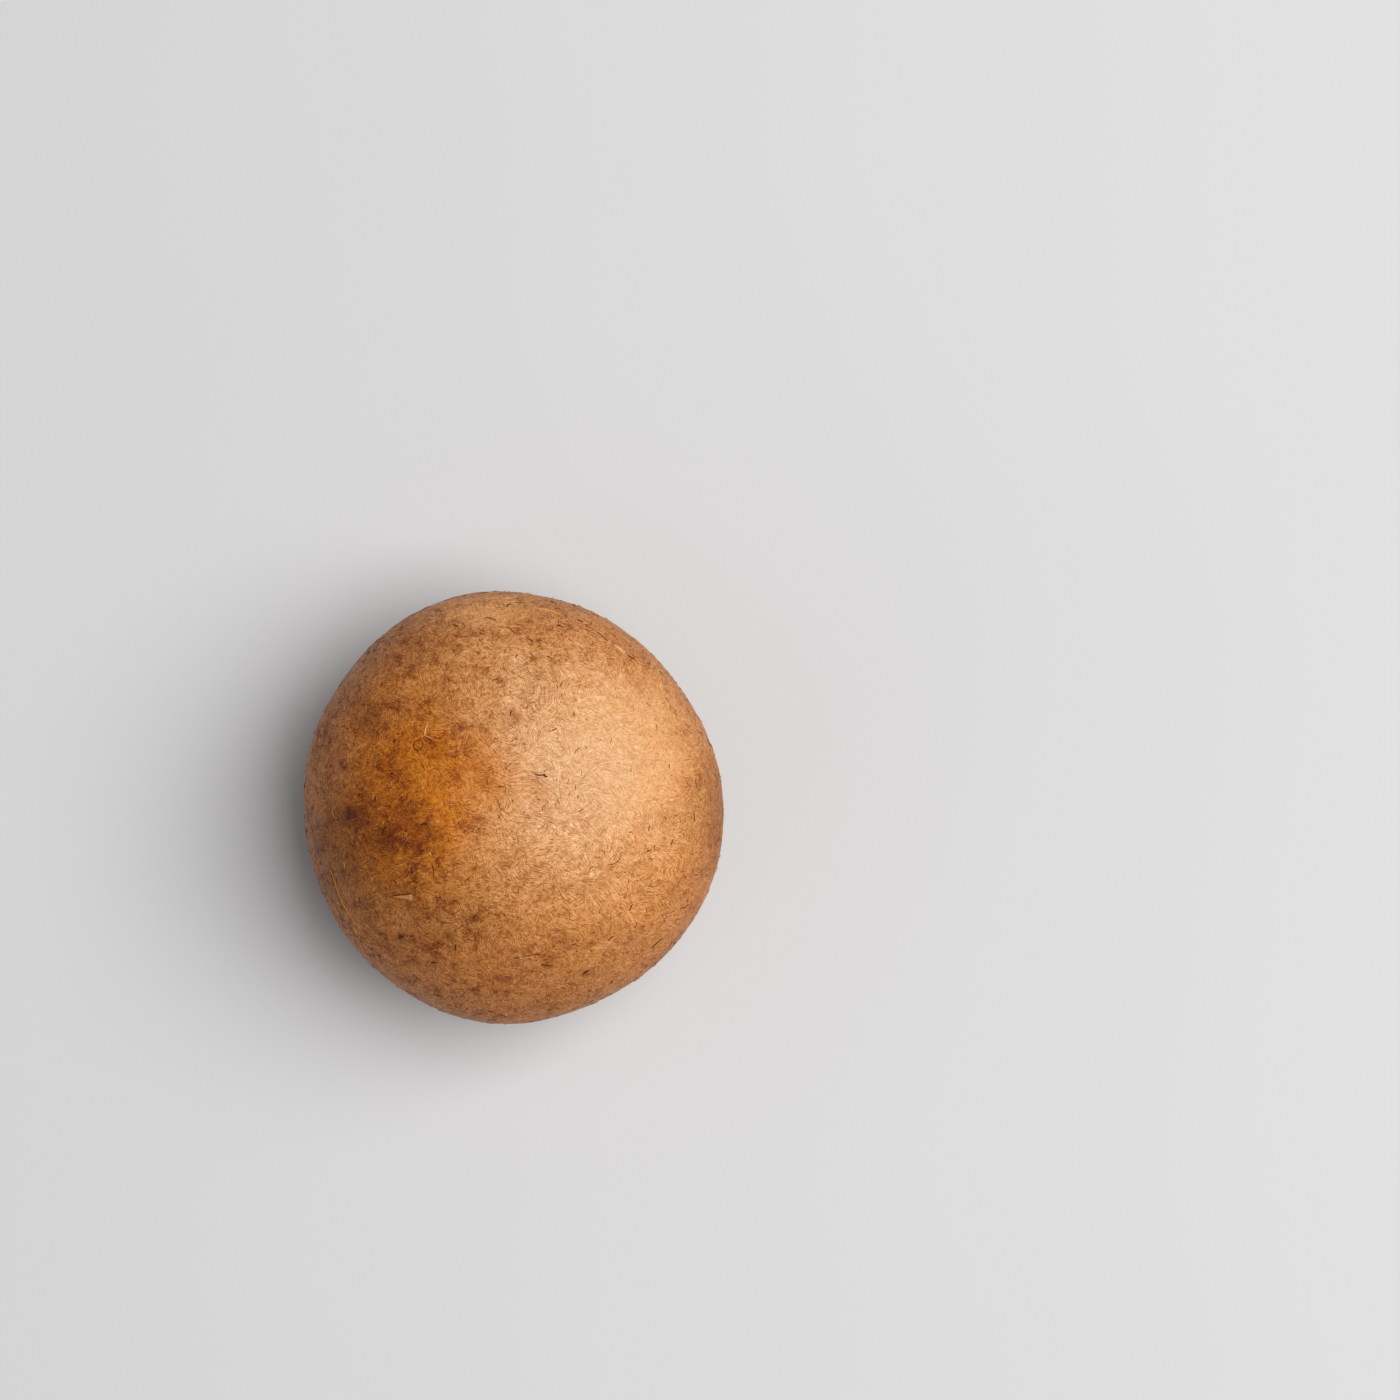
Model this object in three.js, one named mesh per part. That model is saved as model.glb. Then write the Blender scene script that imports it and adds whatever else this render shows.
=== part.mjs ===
// A portobello mushroom, picked and with its stem trimmed. A domed cap rolls in at its margin
// round a ring-shaped hollow, where the gills hang, and stands on a short stem with a flat cut end.
// Cap, gills and stem grew as one piece of flesh, so they are one closed mesh.
//
// Units are millimetres and +Z is up. The origin lies under the middle of the cap, on the surface
// that the cut end stands on. +X and +Y run across and along the cap's outline.
import * as THREE from "three";

// ---- Driving dimensions --------------------------------------------------------------------
const CAP_RADIUS = 42; // mean radius at the cap's widest level
const APEX_HEIGHT = 54; // top of the dome
const WIDEST_HEIGHT = 24; // level of the widest outline
const DOME_FULLNESS = 2.12; // exponent of the dome's superellipse: 2 is an ellipse, more is squarer

const LIP_RADIUS = 34.8; // lowest line of the rolled margin
const LIP_HEIGHT = 12;
const LIP_THICKNESS = 3.6; // across the roll, from the outer flank to the inner wall
const LIP_ROLL_HEIGHT = 2.4; // how far the roll turns back up inside

const GILL_RIM_RADIUS = 31.8; // where the gills' free edges meet the inner wall
const GILL_RIM_HEIGHT = 18.2;
const GILL_BELLY = 1.1; // how far the gills' free edges sag between margin and stem
const GUTTER_RADIUS = 15.6; // the gills end just short of the stem
const GUTTER_HEIGHT = 19.6;

const STEM_TOP_RADIUS = 13.4;
const STEM_WAIST_RADIUS = 12.4;
const STEM_FOOT_RADIUS = 13.6;
const CUT_EDGE_RADIUS = 0.9; // the soft edge round the cut end

// What makes this one mushroom differ from a turned shape.
const OUTLINE_LOBES = [
  // waves round the outline: how many, how deep as a share of the radius, and where one peaks
  { waves: 2, depth: 0.0175, peak: 106 },
  { waves: 3, depth: 0.0093, peak: 117 },
  { waves: 4, depth: 0.0054, peak: 86 },
];
const MARGIN_WAVES = [
  // the margin rises and falls a little: how many waves, how high in mm, and where one peaks
  { waves: 3, height: 0.5, peak: 40 },
  { waves: 5, height: 0.3, peak: 10 },
];
const MARGIN_WAVE_REACH = 7; // how far up the flank the margin's waves are felt
const CAP_TILT = 2.5; // degrees by which the cap leans on its stem
const CAP_LEAN_TOWARDS = -50; // degrees from +X, the side on which the margin hangs lower
const STEM_LEAN = 1.6; // how far the stem's foot stands to the side of its top
const STEM_LEAN_TOWARDS = 150;
const STEM_OVAL = 0.03; // the stem's section is this much longer one way than a circle
const STEM_OVAL_TOWARDS = 25;

// Steps along each stretch of the profile, and round the axis.
const ROUND_STEPS = 56;
const FOOT_STEPS = 2;
const CUT_EDGE_STEPS = 3;
const STEM_STEPS = 7;
const GUTTER_STEPS = 3;
const GILL_STEPS = 8;
const WALL_STEPS = 3;
const LIP_STEPS = 6;
const FLANK_STEPS = 8;
const DOME_STEPS = 15;

// ---- The profile, from the middle of the cut end round to the apex -----------------------------
const radians = THREE.MathUtils.degToRad;
const at = (radius, height) => new THREE.Vector2(radius, height);

// Points of a curve without its first one, which the stretch before has already given.
const along = (curve, steps) => curve.getPoints(steps).slice(1);

function arc(centre, width, height, from, to, steps) {
  const turnsBack = to < from;
  const ellipse = new THREE.EllipseCurve(
    centre.x, centre.y, width, height, radians(from), radians(to), turnsBack,
  );
  return along(ellipse, steps);
}

function footProfile() {
  const flatRadius = STEM_FOOT_RADIUS - CUT_EDGE_RADIUS;
  const flat = along(new THREE.LineCurve(at(0, 0), at(flatRadius, 0)), FOOT_STEPS);
  const edge = arc(at(flatRadius, CUT_EDGE_RADIUS), CUT_EDGE_RADIUS, CUT_EDGE_RADIUS, -90, 0, CUT_EDGE_STEPS);
  return [at(0, 0), ...flat, ...edge];
}

function stemProfile() {
  const wall = new THREE.CubicBezierCurve(
    at(STEM_FOOT_RADIUS, CUT_EDGE_RADIUS),
    at(STEM_WAIST_RADIUS, GUTTER_HEIGHT / 3),
    at(STEM_WAIST_RADIUS, (GUTTER_HEIGHT * 2) / 3),
    at(STEM_TOP_RADIUS, GUTTER_HEIGHT),
  );
  return along(wall, STEM_STEPS);
}

// The gutter between stem and gills, the gills' free edges, and the wall inside the margin.
function undersideProfile() {
  const gutterWidth = (GUTTER_RADIUS - STEM_TOP_RADIUS) / 2;
  const gutterCentre = at(STEM_TOP_RADIUS + gutterWidth, GUTTER_HEIGHT);
  const gutter = arc(gutterCentre, gutterWidth, gutterWidth, 180, 0, GUTTER_STEPS);
  const gillMiddle = at(
    (GUTTER_RADIUS + GILL_RIM_RADIUS) / 2,
    (GUTTER_HEIGHT + GILL_RIM_HEIGHT) / 2 - 2 * GILL_BELLY,
  );
  const gills = new THREE.QuadraticBezierCurve(
    at(GUTTER_RADIUS, GUTTER_HEIGHT), gillMiddle, at(GILL_RIM_RADIUS, GILL_RIM_HEIGHT),
  );
  const rollStart = at(LIP_RADIUS - LIP_THICKNESS / 2, LIP_HEIGHT + LIP_ROLL_HEIGHT);
  const wall = new THREE.LineCurve(at(GILL_RIM_RADIUS, GILL_RIM_HEIGHT), rollStart);
  return [...gutter, ...along(gills, GILL_STEPS), ...along(wall, WALL_STEPS)];
}

// The roll of the margin, the flank up to the widest level, and the dome.
function outsideProfile() {
  const roll = arc(
    at(LIP_RADIUS, LIP_HEIGHT + LIP_ROLL_HEIGHT), LIP_THICKNESS / 2, LIP_ROLL_HEIGHT, 180, 270, LIP_STEPS,
  );
  const flank = arc(
    at(LIP_RADIUS, WIDEST_HEIGHT), CAP_RADIUS - LIP_RADIUS, WIDEST_HEIGHT - LIP_HEIGHT, -90, 0, FLANK_STEPS,
  );
  const dome = [];
  for (let step = 1; step <= DOME_STEPS; step++) {
    const turn = (Math.PI / 2) * (step / DOME_STEPS);
    const share = (value) => Math.pow(Math.max(value, 0), 2 / DOME_FULLNESS);
    const radius = step === DOME_STEPS ? 0 : CAP_RADIUS * share(Math.cos(turn));
    dome.push(at(radius, WIDEST_HEIGHT + (APEX_HEIGHT - WIDEST_HEIGHT) * share(Math.sin(turn))));
  }
  return [...roll, ...flank, ...dome];
}

// ---- From a turned shape to this mushroom ------------------------------------------------------
const wave = ({ waves, peak }, azimuth) => Math.cos(waves * (azimuth - radians(peak)));

function outlineScale(azimuth) {
  return OUTLINE_LOBES.reduce((scale, lobe) => scale + lobe.depth * wave(lobe, azimuth), 1);
}

function marginRise(azimuth, height) {
  const nearness = Math.exp(-(((height - LIP_HEIGHT) / MARGIN_WAVE_REACH) ** 2));
  return nearness * MARGIN_WAVES.reduce((rise, one) => rise + one.height * wave(one, azimuth), 0);
}

// How far a point of the profile follows the cap: 0 on the stem, 1 on the cap, and between them
// it grows along the gills' free edges.
function capShares(stemCount, underside, outsideCount) {
  const share = (point) =>
    THREE.MathUtils.smoothstep(point.x, STEM_TOP_RADIUS, GILL_RIM_RADIUS);
  return [
    ...new Array(stemCount).fill(0),
    ...underside.map(share),
    ...new Array(outsideCount).fill(1),
  ];
}

const stemOvalScale = (azimuth) =>
  1 + STEM_OVAL * Math.cos(2 * (azimuth - radians(STEM_OVAL_TOWARDS)));

function shapedPoint(point, capShare, leanAxis) {
  const azimuth = Math.atan2(point.y, point.x);
  const radius = Math.hypot(point.x, point.y);
  const scale = THREE.MathUtils.lerp(stemOvalScale(azimuth), outlineScale(azimuth), capShare);
  const foot = STEM_LEAN * (1 - Math.min(point.z / GUTTER_HEIGHT, 1)) * (1 - capShare);
  const shaped = new THREE.Vector3(
    radius * scale * Math.cos(azimuth) + foot * Math.cos(radians(STEM_LEAN_TOWARDS)),
    radius * scale * Math.sin(azimuth) + foot * Math.sin(radians(STEM_LEAN_TOWARDS)),
    point.z + capShare * marginRise(azimuth, point.z),
  );
  const pivot = new THREE.Vector3(0, 0, WIDEST_HEIGHT);
  return shaped.sub(pivot).applyAxisAngle(leanAxis, radians(CAP_TILT) * capShare).add(pivot);
}

function mushroomGeometry() {
  const stem = [...footProfile(), ...stemProfile()];
  const underside = undersideProfile();
  const outside = outsideProfile();
  const profile = [...stem, ...underside, ...outside];
  const shares = capShares(stem.length, underside, outside.length);

  const geometry = new THREE.LatheGeometry(profile, ROUND_STEPS);
  geometry.rotateX(Math.PI / 2);
  const lean = radians(CAP_LEAN_TOWARDS);
  const leanAxis = new THREE.Vector3(-Math.sin(lean), Math.cos(lean), 0);
  const places = geometry.getAttribute("position");
  for (let i = 0; i < places.count; i++) {
    const point = new THREE.Vector3().fromBufferAttribute(places, i);
    const shaped = shapedPoint(point, shares[i % profile.length], leanAxis);
    places.setXYZ(i, shaped.x, shaped.y, shaped.z);
  }

  geometry.computeBoundingBox();
  const middle = geometry.boundingBox.getCenter(new THREE.Vector3());
  geometry.translate(-middle.x, -middle.y, 0);
  geometry.computeVertexNormals();
  return geometry;
}

const flesh = new THREE.MeshStandardMaterial({ color: 0xb87a45, roughness: 0.7, metalness: 0 });
const mushroom = new THREE.Mesh(mushroomGeometry(), flesh);
mushroom.name = "mushroom";

const part = new THREE.Group();
part.add(mushroom);
export default part;
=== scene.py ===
# %% [markdown]
# # A portobello mushroom
#
# One piece of flesh makes the whole mushroom: a domed cap with a brown, felted skin, a margin that
# rolls in, thin gills in the ring-shaped hollow under it, the torn rest of the veil that once closed
# that hollow, and a short stem trimmed flat. The measured model that is loaded here already has the
# size and the outline. This lesson gives each surface a mesh and a finish of its own, because skin,
# plates, membrane and fibres are built differently.

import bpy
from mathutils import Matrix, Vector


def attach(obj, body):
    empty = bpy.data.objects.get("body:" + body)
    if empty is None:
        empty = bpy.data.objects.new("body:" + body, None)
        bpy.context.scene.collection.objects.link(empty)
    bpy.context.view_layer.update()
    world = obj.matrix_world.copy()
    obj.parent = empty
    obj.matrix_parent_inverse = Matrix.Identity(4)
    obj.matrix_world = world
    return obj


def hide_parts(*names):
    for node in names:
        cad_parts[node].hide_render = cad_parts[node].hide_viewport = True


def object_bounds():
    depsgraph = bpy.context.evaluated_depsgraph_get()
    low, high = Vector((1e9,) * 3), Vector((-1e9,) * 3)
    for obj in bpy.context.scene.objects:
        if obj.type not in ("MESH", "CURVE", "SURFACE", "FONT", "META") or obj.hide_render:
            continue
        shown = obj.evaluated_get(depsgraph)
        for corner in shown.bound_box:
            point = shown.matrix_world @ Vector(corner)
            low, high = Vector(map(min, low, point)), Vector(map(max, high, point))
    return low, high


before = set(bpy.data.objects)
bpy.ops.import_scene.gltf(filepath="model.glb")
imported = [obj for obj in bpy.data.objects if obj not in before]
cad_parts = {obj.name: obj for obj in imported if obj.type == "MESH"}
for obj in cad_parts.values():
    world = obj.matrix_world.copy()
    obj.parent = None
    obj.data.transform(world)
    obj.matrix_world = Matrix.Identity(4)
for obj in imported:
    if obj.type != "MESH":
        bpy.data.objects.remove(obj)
cad_low, cad_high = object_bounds()
print("measured model, mm:", [round(1000 * side, 2) for side in cad_high - cad_low])

# %% What the lesson works with
import math

import bpy
import numpy as np

DRAWN_HEIGHT = 54.04  # height of the drawing in its own millimetres, with the cap's lean
MM = (cad_high.z - cad_low.z) / DRAWN_HEIGHT
scene = bpy.context.scene
print(f"one millimetre of the drawing is {MM:.6f} m")

# %% [markdown]
# ## The view and the light
#
# The mushroom is seen from straight above, through a long lens some 70 cm away, and it stands left
# of the middle of the frame. A long lens keeps the outline almost free of perspective. The camera
# isn't shifted: it is moved to the side and turned by a degree, so that other views stay centred.

# %% The camera
CAMERA_HEIGHT = 750 * MM
CAMERA_SIDE = 36.8 * MM
CAMERA_BACK = 5.3 * MM
AIM_BACK = 21.2 * MM
WIDEST_HEIGHT = 24.0  # of the cap, above the floor, in mm
LENS = 94.0

camera_data = bpy.data.cameras.new("camera")
camera_data.lens = LENS
camera = bpy.data.objects.new("camera", camera_data)
drop = CAMERA_HEIGHT - WIDEST_HEIGHT * MM
camera.location = (CAMERA_SIDE, CAMERA_BACK, CAMERA_HEIGHT)
camera.rotation_euler = (math.atan2(AIM_BACK - CAMERA_BACK, drop), 0, 0)
scene.collection.objects.link(camera)
scene.camera = camera
print(f"camera turned {math.degrees(camera.rotation_euler.x):.2f} degrees from straight down")

# %% [markdown]
# The light is one large soft window high on the right, so the skin is brightest just right of the
# top and the left flank turns dark. A faint, low light from the left, as a pale wall would throw
# back, draws the left rim, and a dim surrounding fills the rest. A small hard lamp would draw a
# sharp shadow and a glint instead.

# %% The lights
WINDOW = {"place": (1190, 190, 1850), "size": 2.0, "power": 57.0, "colour": (1.0, 0.985, 0.96)}
PALE_WALL = {"place": (-1500, -500, 420), "size": 2.0, "power": 3.5, "colour": (1.0, 0.99, 0.97)}
SURROUNDING_COLOUR = (0.95, 0.955, 0.98, 1.0)
SURROUNDING_STRENGTH = 0.20


def soft_light(name, place, size, power, colour):
    """A square light with a side in metres, at a place in mm, turned so that it faces the mushroom."""
    data = bpy.data.lights.new(name, "AREA")
    data.shape = "SQUARE"
    data.size = size
    data.energy = power
    data.color = colour
    light = bpy.data.objects.new(name, data)
    light.location = [MM * value for value in place]
    light.rotation_euler = light.location.to_track_quat("Z", "Y").to_euler()
    scene.collection.objects.link(light)


soft_light("window", **WINDOW)
soft_light("pale_wall", **PALE_WALL)

world = bpy.data.worlds.new("surrounding")
world.use_nodes = True
surrounding = world.node_tree.nodes["Background"]
surrounding.inputs["Color"].default_value = SURROUNDING_COLOUR
surrounding.inputs["Strength"].default_value = SURROUNDING_STRENGTH
scene.world = world
scene.view_settings.view_transform = "Standard"
scene.view_settings.look = "None"

# %% [markdown]
# ## Shapes as formulas
#
# A mushroom grows round an axis, so each part begins as a turned profile: points with a radius and a
# height. Growth then bends it. The outline gets two, three and four shallow lobes, the margin rises
# and falls, the cap leans on its stem and the stem's foot stands a little to the side. The measured
# model was shaped by the same rules, so meshes that follow them fit it with no adjusting.

# %% Profiles
def ellipse_arc(centre, width, height, start, stop, steps):
    """Centre plus half-width times the cosine and half-height times the sine of an even turn."""
    turn = np.radians(np.linspace(start, stop, steps))
    return np.stack([centre[0] + width * np.cos(turn), centre[1] + height * np.sin(turn)], axis=1)


def bezier(controls, steps):
    """Each control point weighted by its Bernstein term, for a share going from 0 to 1."""
    share = np.linspace(0, 1, steps)[:, None]
    degree = len(controls) - 1
    terms = [
        math.comb(degree, k) * share**k * (1 - share) ** (degree - k) * np.array([controls[k]])
        for k in range(degree + 1)
    ]
    return sum(terms)


def length_along(points):
    """Running sum of the distances between neighbouring points."""
    steps = np.linalg.norm(np.diff(points, axis=0), axis=1)
    return np.concatenate([[0], np.cumsum(steps)])


def evenly(points, count):
    """The same line with its points at equal distances along it."""
    walked = length_along(points)
    wanted = np.linspace(0, walked[-1], count)
    return np.stack([np.interp(wanted, walked, points[:, k]) for k in range(2)], axis=1)


quarter_circle = ellipse_arc((0, 0), 1, 1, 0, 90, 50)
print(f"a quarter circle of radius 1 is {length_along(quarter_circle)[-1]:.3f} long")

# %% [markdown]
# ### From turned to grown
#
# A turned part is too regular. One function moves every point of every part as growth does, so
# that neighbours stay joined: what the cap does, the gills and the veil do as well. Lobes and waves
# are cosines round the axis, and the lean is a turn about the middle of the widest level.

# %% From a turned shape to a grown one
CAP_RADIUS = 42.0
LIP_HEIGHT = 12.0
GILL_RIM_RADIUS = 31.8
STEM_TOP_RADIUS = 13.4
GUTTER_HEIGHT = 19.6
OUTLINE_LOBES = [(2, 0.0175, 106), (3, 0.0093, 117), (4, 0.0054, 86)]  # count, depth, peak
MARGIN_WAVES = [(3, 0.5, 40), (5, 0.3, 10)]  # count, height in mm, peak
MARGIN_WAVE_REACH = 7.0
CAP_TILT = 2.5
CAP_LEAN_TOWARDS = -50
STEM_LEAN = 1.6
STEM_LEAN_TOWARDS = 150
STEM_OVAL = 0.03
STEM_OVAL_TOWARDS = 25


def smooth(low, high, value):
    """0 below low, 1 above high, and three times the share squared less twice its cube between."""
    share = np.clip((value - low) / (high - low), 0, 1)
    return share * share * (3 - 2 * share)


def add_waves(waves, azimuth):
    """Sum of cosines round the axis, each with its own count, depth and peak."""
    return sum(depth * np.cos(count * (azimuth - math.radians(peak))) for count, depth, peak in waves)


def turned_about(points, angle, towards):
    """Rodrigues' turn of points by an angle each, so that what is at azimuth `towards` sinks."""
    aim = math.radians(towards)
    axis = np.array([-math.sin(aim), math.cos(aim), 0])
    pivot = np.array([0, 0, WIDEST_HEIGHT])
    arm = points - pivot
    cos, sin = np.cos(angle)[..., None], np.sin(angle)[..., None]
    along = (arm @ axis)[..., None] * axis
    return pivot + arm * cos + np.cross(axis, arm) * sin + along * (1 - cos)


def grown(radius, height, azimuth, cap_share):
    """A turned point scaled by the lobes, lifted by the margin's waves and leant with the cap."""
    radius, height, azimuth, cap_share = np.broadcast_arrays(radius, height, azimuth, cap_share)
    oval = 1 + STEM_OVAL * np.cos(2 * (azimuth - math.radians(STEM_OVAL_TOWARDS)))
    outline = 1 + add_waves(OUTLINE_LOBES, azimuth)
    scale = oval + (outline - oval) * cap_share
    foot = STEM_LEAN * (1 - np.minimum(height / GUTTER_HEIGHT, 1)) * (1 - cap_share)
    aim = math.radians(STEM_LEAN_TOWARDS)
    near_margin = np.exp(-(((height - LIP_HEIGHT) / MARGIN_WAVE_REACH) ** 2))
    points = np.stack(
        [
            radius * scale * np.cos(azimuth) + foot * math.cos(aim),
            radius * scale * np.sin(azimuth) + foot * math.sin(aim),
            height + cap_share * near_margin * add_waves(MARGIN_WAVES, azimuth),
        ],
        axis=-1,
    )
    return turned_about(points, np.radians(CAP_TILT) * cap_share, CAP_LEAN_TOWARDS)


four_sides = grown(CAP_RADIUS, WIDEST_HEIGHT, np.radians([0, 90, 180, 270]), 1.0)
print("the cap's radius on four sides, mm:", np.linalg.norm(four_sides[:, :2], axis=1).round(1))

# %% [markdown]
# ### Random but smooth
#
# Dents, ridges and torn edges need heights that look random but change gently. A random number at
# each point would give sandpaper. Cosine waves in random directions, added up, give soft swells with
# a wavelength that can be chosen, and a fixed seed gives the same ones each time.

# %% Random but smooth fields, for relief
STRETCHES = (0.7, 1.5)  # a wave's fineness against that of the wavelength asked for


def swell(points, wavelength, seed, count=40):
    """Plane waves in random directions, near one wavelength, added and scaled to a spread of 1."""
    draw = np.random.default_rng(seed)
    heading = draw.normal(size=(3, count))
    heading /= np.linalg.norm(heading, axis=0)
    stretch = draw.uniform(*STRETCHES, count)
    phase = draw.uniform(0, 2 * math.pi, count)
    waves = np.cos(points @ (heading * stretch * 2 * math.pi / wavelength) + phase)
    return waves.sum(axis=-1) * math.sqrt(2 / count)


def surface_normals(grid):
    """Cross product of the way round and the way along a grid of rings, made one long."""
    around = np.roll(grid, -1, axis=1) - np.roll(grid, 1, axis=1)
    along = np.gradient(grid, axis=0)
    normal = np.cross(around, along)
    return normal / np.maximum(np.linalg.norm(normal, axis=-1, keepdims=True), 1e-9)


straight = np.linspace(0, 500, 4000)[:, None] * np.array([1.0, 0.5, 0.2])
print("a smooth field's spread along a line:", swell(straight, 5.0, 1).std().round(2))

# %% [markdown]
# ## From arrays to pieces
#
# Every surface below is a grid: rows along a profile and columns round the axis or across a blade.
# Neighbouring rows are joined by four-sided faces. A turned shape ends in a single point at each
# pole, joined to the last ring by a fan, so that it is closed and has an inside and an outside.

# %% Faces for grids
def band_faces(rows, columns, closed=True):
    """Quads between neighbouring rows; a closed band joins its last column to its first."""
    row = np.arange(rows - 1)[:, None]
    column = np.arange(columns if closed else columns - 1)[None, :]
    beside = (column + 1) % columns
    corners = [row * columns + column, row * columns + beside]
    corners += [(row + 1) * columns + beside, (row + 1) * columns + column]
    return np.stack(corners, axis=-1).reshape(-1, 4)


def closed_turned(grid, low_pole, high_pole):
    """A grid of rings with one point added at each end, and the fans that join them."""
    rows, columns = grid.shape[:2]
    points = np.concatenate([grid.reshape(-1, 3), [low_pole, high_pole]])
    here = np.arange(columns)
    beside = (here + 1) % columns
    last = (rows - 1) * columns
    low = np.stack([np.full(columns, rows * columns), beside, here], axis=1)
    high = np.stack([last + here, last + beside, np.full(columns, rows * columns + 1)], axis=1)
    return points, band_faces(rows, columns).tolist() + low.tolist() + high.tolist()


def volume_inside(points, faces):
    """Sum of the signed tetrahedra from the origin: more than zero when the faces point outwards."""
    quads = np.array([face if len(face) == 4 else [*face, face[2]] for face in faces])
    a, b, c, d = (points[quads[:, k]] for k in range(4))
    first = np.einsum("ij,ij->i", a, np.cross(b, c))
    second = np.einsum("ij,ij->i", a, np.cross(c, d))
    return (first + second).sum() / 6


def add_piece(name, points, faces, material):
    """Points in the drawing's millimetres become a mesh in metres that rides on the mushroom."""
    mesh = bpy.data.meshes.new(name)
    mesh.from_pydata((points * MM).tolist(), [], faces)
    mesh.polygons.foreach_set("use_smooth", np.ones(len(mesh.polygons), bool))
    mesh.materials.append(material)
    mesh.update()
    piece = bpy.data.objects.new(name, mesh)
    scene.collection.objects.link(piece)
    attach(piece, "root")
    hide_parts("mushroom")
    triangles = sum(len(face) - 2 for face in faces)
    print(f"{name}: {triangles} triangles, {volume_inside(points, faces):.1f} cubic mm")
    return piece


# %% [markdown]
# ## Finishes
#
# A finish is a small program of shader nodes. The helpers below keep it short: one adds a node and
# links or sets its inputs, and one starts a node group, which is an effect with named inputs that
# several finishes share. Patterns read the position on the mushroom in millimetres, so their scale
# is the real one, and nothing slides when the camera moves.

# %% Shader helpers
def paint(red, green, blue):
    """A colour as a screen shows it, from 0 to 255, turned into the linear light that shaders use."""
    shares = np.array([red, green, blue]) / 255
    linear = np.where(shares <= 0.04045, shares / 12.92, ((shares + 0.055) / 1.055) ** 2.4)
    return (*linear.tolist(), 1.0)


print("a mid grey on a screen is", round(paint(128, 128, 128)[0], 3), "in linear light")


def node(tree, kind, inputs=None, **settings):
    """Adds a shader node. An input given as a socket is linked, and any other value is set."""
    made = tree.nodes.new("ShaderNode" + kind)
    for name, value in settings.items():
        setattr(made, name, value)
    for name, value in (inputs or {}).items():
        if isinstance(value, bpy.types.NodeSocket):
            tree.links.new(value, made.inputs[name])
        else:
            made.inputs[name].default_value = value
    return made


def maths(tree, operation, first, second=0.0, third=0.0):
    """One step of arithmetic on numbers."""
    made = node(tree, "Math", {0: first, 1: second, 2: third}, operation=operation)
    return made.outputs[0]


def vectors(tree, operation, first, second=None, **more):
    """One step of arithmetic on vectors."""
    inputs = {0: first} if second is None else {0: first, 1: second}
    made = node(tree, "VectorMath", {**inputs, **more}, operation=operation)
    return made.outputs["Value" if operation in ("LENGTH", "DISTANCE", "DOT_PRODUCT") else "Vector"]


def fade(tree, value, low, high, start=0.0, stop=1.0):
    """Start below low, stop above high, and a smooth step between."""
    inputs = {"Value": value, "From Min": low, "From Max": high, "To Min": start, "To Max": stop}
    made = node(tree, "MapRange", inputs, interpolation_type="SMOOTHSTEP")
    return made.outputs["Result"]


def blend(tree, share, first, second, way="MIX"):
    """The second colour laid over the first by a share."""
    made = node(tree, "Mix", {0: share, 6: first, 7: second}, data_type="RGBA", blend_type=way)
    return made.outputs[2]


def noise(tree, place, scale, detail=0.0, roughness=0.5, **settings):
    """A noise texture's two outputs: a number and a colour."""
    inputs = {"Vector": place, "Scale": scale, "Detail": detail, "Roughness": roughness, **settings}
    made = node(tree, "TexNoise", inputs)
    return made.outputs[0], made.outputs["Color"]


def new_group(name, inputs, outputs):
    """An empty node group with float or vector inputs, given as name and value, and float outputs."""
    group = bpy.data.node_groups.new(name, "ShaderNodeTree")
    for label, value in inputs:
        kind = "NodeSocketFloat" if isinstance(value, float) else "NodeSocketVector"
        socket = group.interface.new_socket(label, in_out="INPUT", socket_type=kind)
        if isinstance(value, float):
            socket.default_value = value
    for label in outputs:
        group.interface.new_socket(label, in_out="OUTPUT", socket_type="NodeSocketFloat")
    taken = group.nodes.new("NodeGroupInput").outputs
    given = group.nodes.new("NodeGroupOutput").inputs
    return group, taken, given


def use_group(tree, group, inputs):
    """Places a group in a material with its own values."""
    made = tree.nodes.new("ShaderNodeGroup")
    made.node_tree = group
    for name, value in inputs.items():
        if isinstance(value, bpy.types.NodeSocket):
            tree.links.new(value, made.inputs[name])
        else:
            made.inputs[name].default_value = value
    return made.outputs


def carry(piece, name, values):
    """Stores one number for each point of a piece's mesh, for its finish to read."""
    attribute = piece.data.attributes.new(name, "FLOAT", "POINT")
    attribute.data.foreach_set("value", np.asarray(values, np.float32).ravel())


def carried(tree, name):
    """Reads such a number in a finish."""
    return node(tree, "Attribute", attribute_name=name).outputs["Fac"]


# %% [markdown]
# Many layers are made in one of a few ways: two masks multiplied, a colour dimmed by a number, or a
# ground of which only a share of each colour is left where a mask is 1. Such a share darkens and
# warms the ground together, as a stain does, where a flat dark paint would hide what lies under it.

# %% Masks and tints
def times(tree, first, second):
    """The product of two numbers."""
    return maths(tree, "MULTIPLY", first, second)


def dimmed(tree, colour, share):
    """A colour times a number."""
    return vectors(tree, "SCALE", colour, Scale=share)


def tinted(tree, mask, ground, shares):
    """The ground, and where the mask is 1, the ground times a share for each colour."""
    return blend(tree, mask, ground, vectors(tree, "MULTIPLY", ground, shares))


def mask_of(tree, group, place, values):
    """The mask that an effect gives at a place, with values of its own."""
    return use_group(tree, group, {"Place": place, **values})["Mask"]


def fibres(tree, place, normal, values):
    """Both outputs of the fibre group, which the next cell makes, with values of its own."""
    return use_group(tree, fibre_group, {"Place": place, "Normal": normal, **values})


# %% [markdown]
# ### Felted fibres
#
# Mushroom skin is a felt. Fine threads lie flat on it, side by side over a few millimetres, and then
# the next tuft lies another way. A stretched noise would need one direction for the whole cap. Here
# a main direction with a slow random field added, crossed with the surface normal, gives a lie at
# each point. Fine noise averaged over a few steps along that lie is smeared into short threads.

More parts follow.
